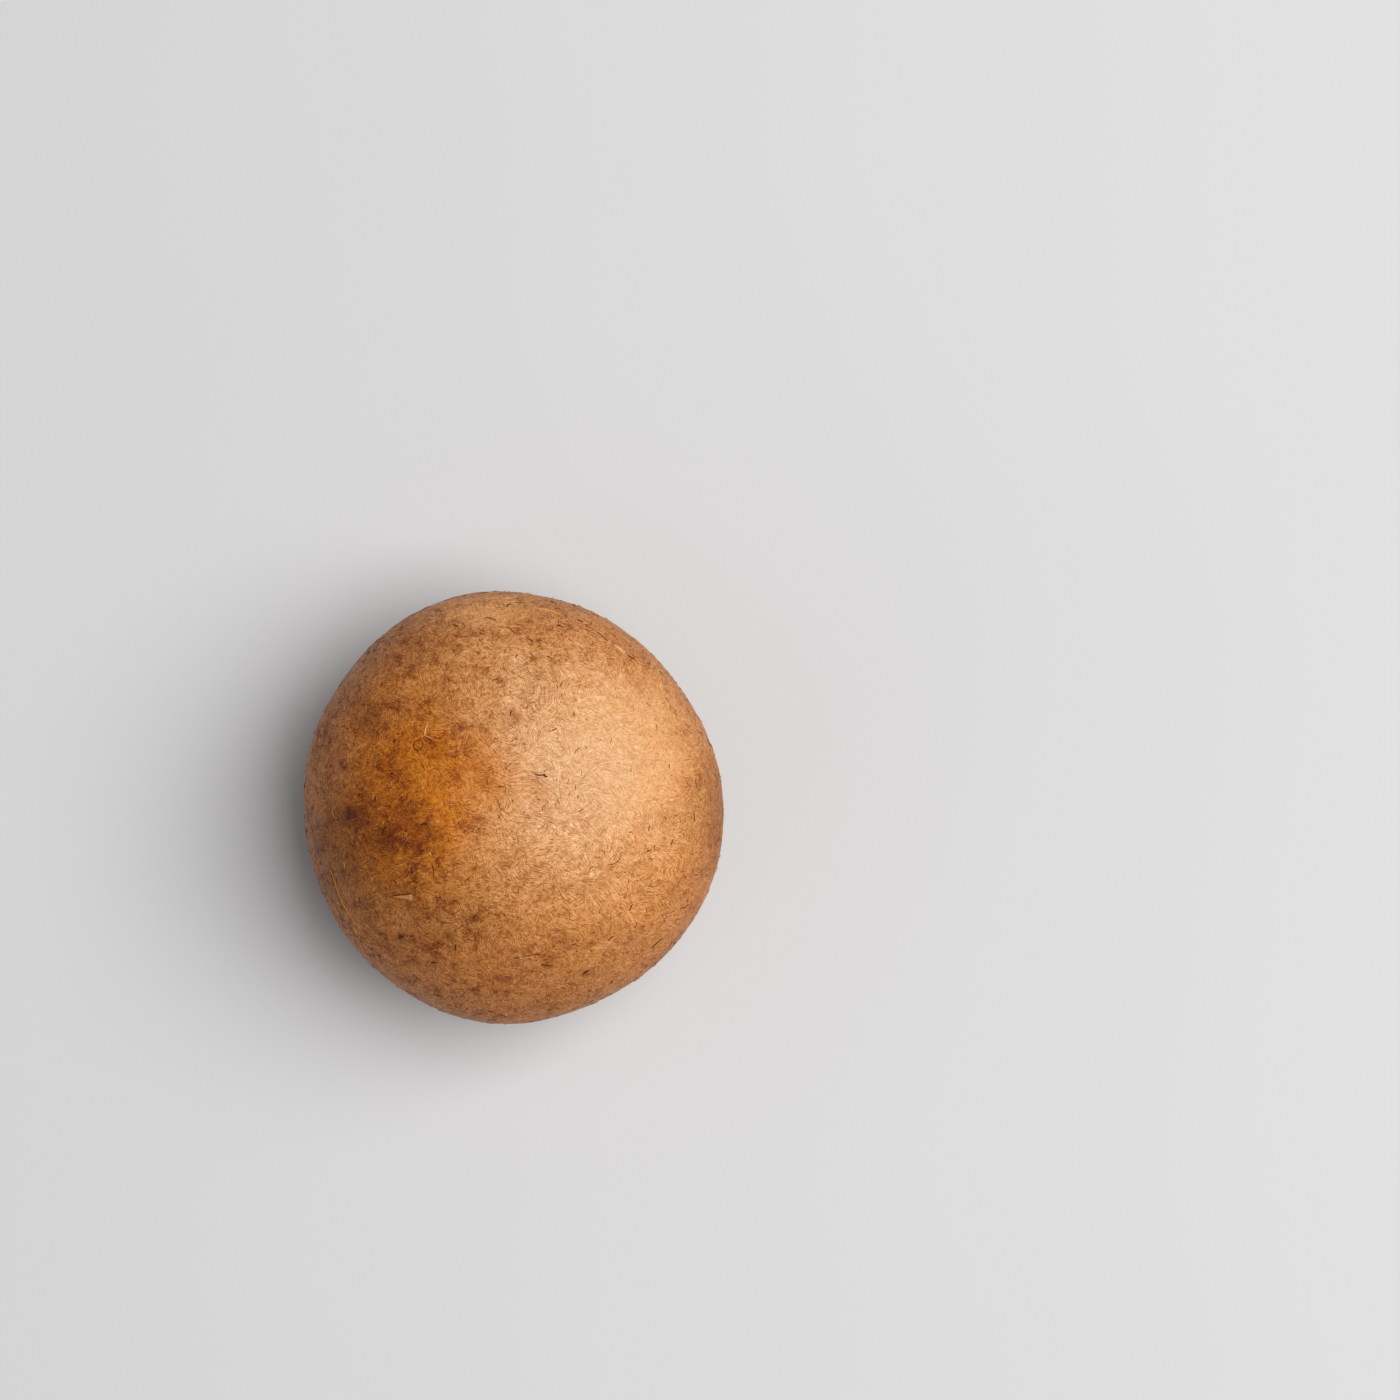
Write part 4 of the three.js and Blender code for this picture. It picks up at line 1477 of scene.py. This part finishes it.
def make_gill_finish():
    """Cocoa brown by blade, rosy near the root, a powdering of spores and a fine grain."""
    material, tree, shader, place, _ = new_finish("gills", 0.75)
    colour = blend(tree, carried(tree, "tone"), COCOA, DARK_COCOA)
    colour = blend(tree, fade(tree, carried(tree, "down"), 0.0, 0.7, 0.55, 0.0), colour, ROSY)
    spores = mask_of(tree, blotch_group, place, SPORE_DUST)
    colour = blend(tree, times(tree, spores, 0.5), colour, DARK_COCOA)
    grain, _ = noise(tree, place, 3.5, detail=2.0)
    colour = dimmed(tree, colour, fade(tree, grain, 0.3, 0.7, 0.85, 1.15))
    tree.links.new(colour, shader.inputs["Base Color"])
    raise_surface(tree, shader, grain, 0.05)
    return material


gill_points, gill_quads = gill_grid.reshape(-1, 3), gill_faces.reshape(-1, 4).tolist()
gills = add_piece("gills", gill_points, gill_quads, make_gill_finish())
tone = draw.uniform(0, 1, gill_count)
carry(gills, "tone", np.repeat(tone, blade_points))
carry(gills, "down", np.tile(np.linspace(0, 1, DOWN), 2 * ALONG * gill_count))

# %% [markdown]
# ## The stem
#
# The stem is a stout column, a little narrower in the middle and flaring into the cap. It is made of
# long threads side by side, which show as fine ridges from foot to cap, and its cut end shows them
# end on, with a small torn hollow in the pith. It is turned like the cap. Its ridges come from the
# same smooth random fields, read with the height pressed together, so they run lengthwise.

# %% The stem's surface
STEM_WAIST_RADIUS = 12.4
STEM_FOOT_RADIUS = 13.6
CUT_EDGE_RADIUS = 0.9
STEM_COLUMNS = 320
FOOT_ROWS, WALL_ROWS = 34, 96
PITH_RADIUS, PITH_DEPTH = 3.4, 1.9
RIDGE_STRETCH = [1, 1, 0.09]  # presses the height together, so that ridges run lengthwise
STEM_RIDGES = [(3.4, 0.16), (1.5, 0.07), (0.8, 0.035)]
STEM_SEED = 31
PITH_WAVE, PITH_UNEVEN = 3.0, 0.16  # wavelength in mm and share, for the hollow's outline
TORN_HEIGHT = 0.16
TORN_WAVES = [(1.1, 1.0), (2.8, 1.0)]
FLARE = [(14.0, 24.0), (14.2, 27.4), (17.2, 29.2)]  # where the stem widens into the cap's flesh
STEM_TOP_HEIGHT = 30.5
STEM_AZIMUTH = np.linspace(0, 2 * math.pi, STEM_COLUMNS, endpoint=False)

cut_radius = np.linspace(0, STEM_FOOT_RADIUS - CUT_EDGE_RADIUS, FOOT_ROWS + 1)[1:]
cut_line = np.stack([cut_radius, np.zeros(FOOT_ROWS)], axis=1)
edge_centre = (STEM_FOOT_RADIUS - CUT_EDGE_RADIUS, CUT_EDGE_RADIUS)
edge_line = ellipse_arc(edge_centre, CUT_EDGE_RADIUS, CUT_EDGE_RADIUS, -90, 0, 9)
wall_line = bezier(
    [
        (STEM_FOOT_RADIUS, CUT_EDGE_RADIUS),
        (STEM_WAIST_RADIUS, GUTTER_HEIGHT / 3),
        (STEM_WAIST_RADIUS, GUTTER_HEIGHT * 2 / 3),
        (STEM_TOP_RADIUS, GUTTER_HEIGHT),
    ],
    80,
)
flare_line = bezier([(STEM_TOP_RADIUS, GUTTER_HEIGHT), *FLARE], 40)
upper_line = evenly(np.concatenate([edge_line, wall_line[1:], flare_line[1:]]), WALL_ROWS)
stem_line = np.concatenate([cut_line[:-1], upper_line])
stem_turned = grown(stem_line[:, :1], stem_line[:, 1:], STEM_AZIMUTH[None, :], 0.0)
stem_normals = surface_normals(stem_turned)
ridges = relief(stem_turned * RIDGE_STRETCH, STEM_RIDGES, STEM_SEED)
on_wall = smooth(0.0, 1.2, stem_line[:, 1])[:, None]
stem_grid = stem_turned + stem_normals * (ridges * on_wall)[..., None]
print(f"the stem is {stem_line[:, 1].max():.1f} mm high, with its flare")

# %% [markdown]
# The cut end gets its own relief. Near the axis the pith is hollow and torn, and elsewhere the knife
# has left the threads slightly rough. Only inner parts are raised, so the stem still stands on the
# ring just inside its edge.

# %% The cut end
uneven = 1 + PITH_UNEVEN * swell(stem_turned, PITH_WAVE, STEM_SEED + 9)
sunken = np.clip(PITH_RADIUS * uneven, 1.0, None)
from_axis = np.linalg.norm(stem_turned[..., :2] - stem_turned[:1, :, :2].mean(axis=1), axis=-1)
hollow = PITH_DEPTH * smooth(1.0, 0.45, from_axis / sunken)
torn = TORN_HEIGHT * np.clip(relief(stem_turned, TORN_WAVES, STEM_SEED + 20), 0, 2)
is_cut = (1 - smooth(0.0, 0.5, stem_line[:, 1]))[:, None]
inside_edge = smooth(STEM_FOOT_RADIUS, STEM_FOOT_RADIUS - 2.5, from_axis)
stem_grid[..., 2] += is_cut * (hollow + torn * inside_edge)
foot_middle = stem_grid[0].mean(axis=0)
stem_top = grown(0.0, STEM_TOP_HEIGHT, 0.0, 0.0)
stem_points, stem_faces = closed_turned(stem_grid - middle, foot_middle - middle, stem_top - middle)

# %% [markdown]
# ### The stem's finish
#
# Fresh stem flesh is cream, stained tan where it was handled, with browner threads running up it. The
# cut end is browned in patches and brown in the torn hollow at its middle. Threads come from a noise
# whose height is pressed together, as the ridges are.

# %% The stem's colour and the stem as a piece
CREAM = paint(222, 204, 178)
STRAW = paint(196, 160, 118)
THREAD_BROWN = paint(134, 92, 58)
CUT_CREAM = paint(214, 190, 156)
THREADS_PRESSED = (1.0, 1.0, 0.10)
STEM_STAINS = {"Size": 6.0, "Level": 0.50, "Softness": 0.16, "Fray": 0.5}
CUT_STAINS = {"Size": 2.6, "Level": 0.52, "Softness": 0.14, "Fray": 0.7}
STEM_GRAIN = {"Width": 0.25, "Length": 1.2}


def make_stem_finish():
    """Cream with straw-coloured stains and brown threads; the cut end browned in patches."""
    material, tree, shader, place, normal = new_finish("stem_flesh", 0.66)
    pressed = vectors(tree, "MULTIPLY", place, THREADS_PRESSED)
    threads, _ = noise(tree, pressed, 2.2, detail=3.0, roughness=0.6)
    stains = mask_of(tree, blotch_group, place, STEM_STAINS)
    colour = blend(tree, times(tree, stains, 0.75), CREAM, STRAW)
    colour = blend(tree, fade(tree, threads, 0.50, 0.68, 0.0, 0.55), colour, THREAD_BROWN)
    cut = mask_of(tree, blotch_group, place, CUT_STAINS)
    cut_colour = blend(tree, times(tree, cut, 0.7), CUT_CREAM, STRAW)
    # the torn hollow of the pith is coloured brown
    hollow_share = times(tree, carried(tree, "hollow"), 0.8)
    cut_colour = blend(tree, hollow_share, cut_colour, THREAD_BROWN)
    colour = blend(tree, carried(tree, "cut"), colour, cut_colour)
    tree.links.new(colour, shader.inputs["Base Color"])
    grain = fibres(tree, place, normal, STEM_GRAIN)["Threads"]
    height = maths(tree, "MULTIPLY_ADD", grain, 0.4, threads)
    raise_surface(tree, shader, height, 0.12)
    return material


stem = add_piece("stem", stem_points, stem_faces, make_stem_finish())
carry(stem, "cut", np.concatenate([np.broadcast_to(is_cut, from_axis.shape).ravel(), [1, 0]]))
carry(stem, "hollow", np.concatenate([(hollow / PITH_DEPTH * is_cut).ravel(), [1, 0]]))

# %% [markdown]
# ## The veil's remnants
#
# While the cap was closed, a thin veil joined its margin to the stem. It tore as the cap opened, and
# left a ragged skirt inside the margin and a torn ring round the stem. Each is a strip round the
# axis: rows from where it is fixed to its free edge, with a length that changes from place to place,
# slowly for the big tears and fast for the teeth. A second layer a quarter of a millimetre behind
# gives it a thickness, and the two layers are joined at both edges.

# %% Torn strips
VEIL_COLUMNS = 900
VEIL_ROWS = 8
VEIL_THICKNESS = 0.22
VEIL_AZIMUTH = np.linspace(0, 2 * math.pi, VEIL_COLUMNS, endpoint=False)
VEIL_TEARS = 24.0  # wavelengths in mm
VEIL_TEETH = 3.2
VEIL_FRINGE = 1.1
VEIL_CRUMPLES = [(3.0, 0.22), (1.1, 0.08)]  # wavelength and height in mm
TOOTH_SHARE, FRINGE_SHARE = 0.28, 0.10
VEIL_THINNING = 0.75  # share of the thickness lost at the free edge


def torn_length(radius, shortest, longest, seed):
    """Between two lengths: wide tears, times narrow teeth, with a fine fringe added."""
    circle = radius * np.stack([np.cos(VEIL_AZIMUTH), np.sin(VEIL_AZIMUTH), 0 * VEIL_AZIMUTH], axis=1)
    tears = smooth(-1.0, 1.6, swell(circle, VEIL_TEARS, seed))
    teeth = np.clip(swell(circle, VEIL_TEETH, seed + 1), -1.4, 1.4)
    teeth = 1 - TOOTH_SHARE + TOOTH_SHARE * teeth
    fringe = FRINGE_SHARE * np.clip(swell(circle, VEIL_FRINGE, seed + 2), -2, 2)
    return shortest + (longest - shortest) * np.clip(tears * teeth + fringe, 0, 1)


def torn_strip(radius, height, direction, curl, lengths, cap_share, seed):
    """Rows go from the fixed edge along a direction that bends by a curl, times the length there."""
    share = np.linspace(0, 1, VEIL_ROWS)[:, None]
    walked = share * lengths[None, :]
    bend = np.radians(direction + curl * share)
    out = radius + walked * np.cos(bend)
    up = height + walked * np.sin(bend)
    face = grown(out, up, VEIL_AZIMUTH[None, :], cap_share)
    crumple = relief(face, VEIL_CRUMPLES, seed)
    normals = surface_normals(face)
    face = face + normals * (crumple * share)[..., None]
    thickness = VEIL_THICKNESS * (1 - VEIL_THINNING * share)[..., None]
    return np.concatenate([face, (face - normals * thickness)[::-1]])


def strip_faces(rows, columns):
    """A band that also joins its last row to its first, so that it closes like a squashed tyre."""
    band = band_faces(rows, columns)
    first = np.arange(columns)
    beside = (first + 1) % columns
    last = (rows - 1) * columns
    return np.concatenate([band, np.stack([last + first, last + beside, beside, first], axis=1)])


# %% The skirt inside the margin and the ring round the stem
SKIRT_TURN = math.radians(205)  # where on the rolled lip the skirt is fixed
SKIRT_LENGTHS = (0.3, 3.6)
SKIRT_DIRECTION, SKIRT_CURL = -125, -35  # degrees from outwards, and how far it bends on
SKIRT_SUNK = 0.1
RING_HEIGHT = 11.6
RING_LENGTHS = (0.5, 3.4)
RING_DIRECTION, RING_CURL = -38, -38
RING_SUNK = 0.15
SKIRT_SEEDS, RING_SEEDS = (41, 51), (61, 71)

skirt_radius = roll_centre[0] + LIP_THICKNESS / 2 * math.cos(SKIRT_TURN) + SKIRT_SUNK
skirt_height = roll_centre[1] + LIP_ROLL_HEIGHT * math.sin(SKIRT_TURN) + SKIRT_SUNK
skirt_length = torn_length(skirt_radius, *SKIRT_LENGTHS, SKIRT_SEEDS[0])
skirt_grid = torn_strip(
    skirt_radius, skirt_height, SKIRT_DIRECTION, SKIRT_CURL, skirt_length, 1.0, SKIRT_SEEDS[1]
)
ring_radius = np.interp(RING_HEIGHT, upper_line[:, 1], upper_line[:, 0]) - RING_SUNK
ring_length = torn_length(ring_radius, *RING_LENGTHS, RING_SEEDS[0])
ring_grid = torn_strip(
    ring_radius, RING_HEIGHT, RING_DIRECTION, RING_CURL, ring_length, 0.0, RING_SEEDS[1]
)
print(f"skirt {skirt_length.min():.1f} to {skirt_length.max():.1f} mm long")
print(f"ring {ring_length.min():.1f} to {ring_length.max():.1f} mm long")

# %% [markdown]
# ### The veil's finish
#
# A fresh veil is cream, and it dries to tan in places. Its threads show only faintly. It could be
# made see-through, but at a quarter of a millimetre it hides what is behind it, so it stays opaque.

# %% The veil's colour, and both strips as pieces
VEIL_CREAM = paint(228, 210, 182)
VEIL_TAN = paint(184, 140, 94)
VEIL_STAINS = {"Size": 3.0, "Level": 0.52, "Softness": 0.15, "Fray": 0.6}
VEIL_THREADS = {"Width": 0.2}


def make_veil_finish():
    """Cream membrane that dries to tan in places, with fine threads."""
    material, tree, shader, place, normal = new_finish("veil", 0.7)
    dry = mask_of(tree, blotch_group, place, VEIL_STAINS)
    threads = fibres(tree, place, normal, VEIL_THREADS)["Threads"]
    colour = blend(tree, times(tree, dry, 0.8), VEIL_CREAM, VEIL_TAN)
    colour = dimmed(tree, colour, fade(tree, threads, 0.1, 0.9, 0.86, 1.08))
    tree.links.new(colour, shader.inputs["Base Color"])
    raise_surface(tree, shader, threads, 0.05)
    return material


veil_finish = make_veil_finish()
strip = strip_faces(2 * VEIL_ROWS, VEIL_COLUMNS)
for name, grid in (("veil_skirt", skirt_grid), ("veil_ring", ring_grid)):
    add_piece(name, (grid - middle).reshape(-1, 3), strip.tolist(), veil_finish)

# %% [markdown]
# ## The floor
#
# A plain pale surface, wide enough to fill every view from above. A view from low down shows where
# it ends, as a soft horizon far behind the mushroom.

# %% The floor
FLOOR_HALF = 4000.0
FLOOR_GREYS = (paint(213, 214, 216), paint(220, 221, 223))
FLOOR_FINENESS = 0.004


def make_floor_finish():
    """An off-white matt ground, very slightly uneven by slow noise."""
    material, tree, shader, place, _ = new_finish("pale_floor", 0.7)
    slow, _ = noise(tree, place, FLOOR_FINENESS, detail=2.0)
    tree.links.new(blend(tree, slow, *FLOOR_GREYS), shader.inputs["Base Color"])
    return material


corners = np.array([[-1, -1, 0], [1, -1, 0], [1, 1, 0], [-1, 1, 0]]) * FLOOR_HALF * MM
floor_mesh = bpy.data.meshes.new("floor")
floor_mesh.from_pydata(corners.tolist(), [], [[0, 1, 2, 3]])
floor_mesh.materials.append(make_floor_finish())
floor = bpy.data.objects.new("floor", floor_mesh)
scene.collection.objects.link(floor)
print(f"the floor is {2 * FLOOR_HALF * MM:.1f} m wide")
